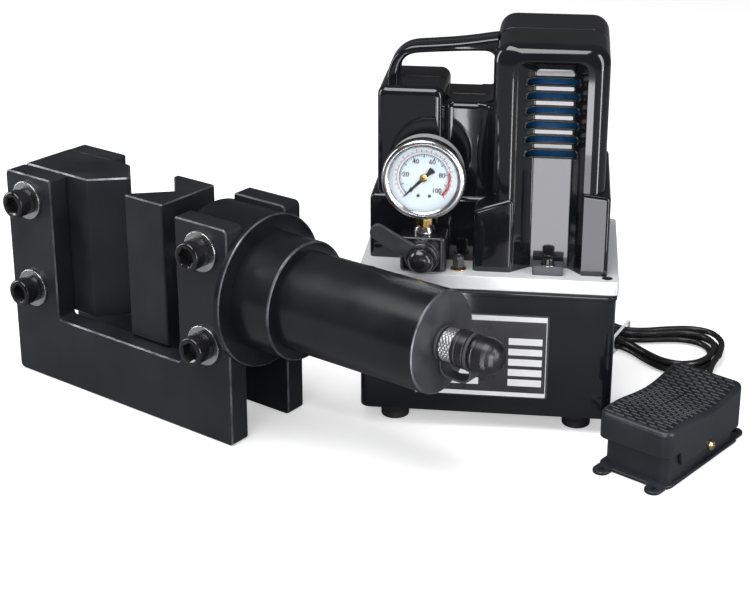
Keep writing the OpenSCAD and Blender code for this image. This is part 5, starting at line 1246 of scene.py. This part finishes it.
# ---------------------------------------------------------------- surroundings
def studio_floor():
    """White paper that glows a little for the camera and is dim for every other ray."""
    mesh = bpy.data.meshes.new("studio_floor")
    reach = 14
    corner_points = [(-reach, -reach, 0), (reach, -reach, 0), (reach, reach, 0), (-reach, reach, 0)]
    mesh.from_pydata(corner_points, [], [(0, 1, 2, 3)])
    floor = show("studio_floor", mesh)
    floor.location.z = -0.0004
    material, tree, _ = new_material("studio_floor")
    tree.nodes.clear()
    paper, dim_paper = [add_node(tree, "BsdfPrincipled", "BSDF", Base_Color=(tone, tone, tone * 1.01, 1), Roughness=0.9,
                                 Specular_IOR_Level=0.1) for tone in (0.86, 0.2)]
    glow = add_node(tree, "Emission", 0, Strength=0.4)
    both = add_node(tree, "AddShader", 0, i0=paper, i1=glow)
    seen = add_node(tree, "LightPath", "Is Camera Ray")
    add_node(tree, "OutputMaterial", Surface=add_node(tree, "MixShader", 0, i0=seen, i1=dim_paper, i2=both))
    mesh.materials.append(material)
    return floor


def white_room():
    """White for the camera and through glass, grey for the light it gives, nearly black in reflections."""
    world = bpy.data.worlds.new("white_room")
    bpy.context.scene.world = world
    world.use_nodes = True
    tree = world.node_tree
    tree.nodes.clear()
    seen = add_node(tree, "LightPath").outputs
    plain, shine = [add_node(tree, "Background", 0, Strength=strength) for strength in (0.5, 0.07)]
    bright = add_node(tree, "Background", 0, Color=(1, 1, 1, 1), Strength=1.0)
    through = add_node(tree, "Math", 0, operation="MAXIMUM", i0=seen["Is Camera Ray"], i1=seen["Is Transmission Ray"])
    to_shine = add_node(tree, "MixShader", 0, i0=seen["Is Glossy Ray"], i1=plain, i2=shine)
    add_node(tree, "OutputWorld", Surface=add_node(tree, "MixShader", 0, i0=through, i1=to_shine, i2=bright))


COOL_WHITE = (0.95, 0.96, 1)


def soft_box(name, at, aim, size, power, tone=(1, 1, 1), shine_only=False):
    lamp = bpy.data.lights.new(name, "AREA")
    lamp.shape, lamp.size, lamp.size_y, lamp.energy, lamp.color = "RECTANGLE", size[0], size[1], power, tone
    box = show(name, lamp)
    box.location = at
    look_along(box, Vector(aim) - Vector(at))
    box.visible_diffuse = not shine_only
    box.visible_camera = False
    return box


def light_the_studio():
    """Four lamps give the light; the cards only shine in the glossy cover, the top one in the slats."""
    white_room()
    soft_box("key_above", (0.1, -0.5, 1.9), (0.15, 0.15, 0.1), (1.6, 1.1), 34)
    fill = soft_box("fill_front", (0.9, -1.7, 0.75), (0.2, 0.1, 0.12), (1.5, 1.1), 16)
    fill.visible_glossy = False
    soft_box("strip_left", (-1.25, -0.55, 0.55), (0.1, 0.15, 0.15), (0.35, 1.3), 11)
    soft_box("strip_right", (1.6, 0.15, 0.6), (0.3, 0.2, 0.15), (0.35, 1.3), 10)
    soft_box("card_low_front", (0.475, -0.06, 0.125), (0.31, 0.19, 0.2), (0.12, 0.19), 0.34, (0.95, 0.94, 1), True)
    soft_box("card_slats", (0.475, -0.06, 0.185), (0.31, 0.19, 0.26), (0.12, 0.07), 0.11, (0.97, 0.97, 1), True)
    soft_box("card_narrow_left", (0.345, -0.06, 0.125), (0.27, 0.19, 0.2), (0.014, 0.22), 0.09, COOL_WHITE, True)
    soft_box("card_tall_right", (0.79, 0.21, 0.11), (0.33, 0.22, 0.2), (0.06, 0.25), 0.5, COOL_WHITE, True)


# ---------------------------------------------------------------- the whole
for dress in (dress_lead, dress_side_plates, dress_frame_bolts, dress_dies, dress_ram, dress_cylinder, dress_coupling,
              dress_tank, dress_rating_plate, dress_cover, dress_motor, dress_deck_parts, dress_valve, dress_gauge,
              dress_base, dress_treadle):
    dress()

studio_floor()
light_the_studio()
bpy.context.scene.view_settings.view_transform = "Standard"
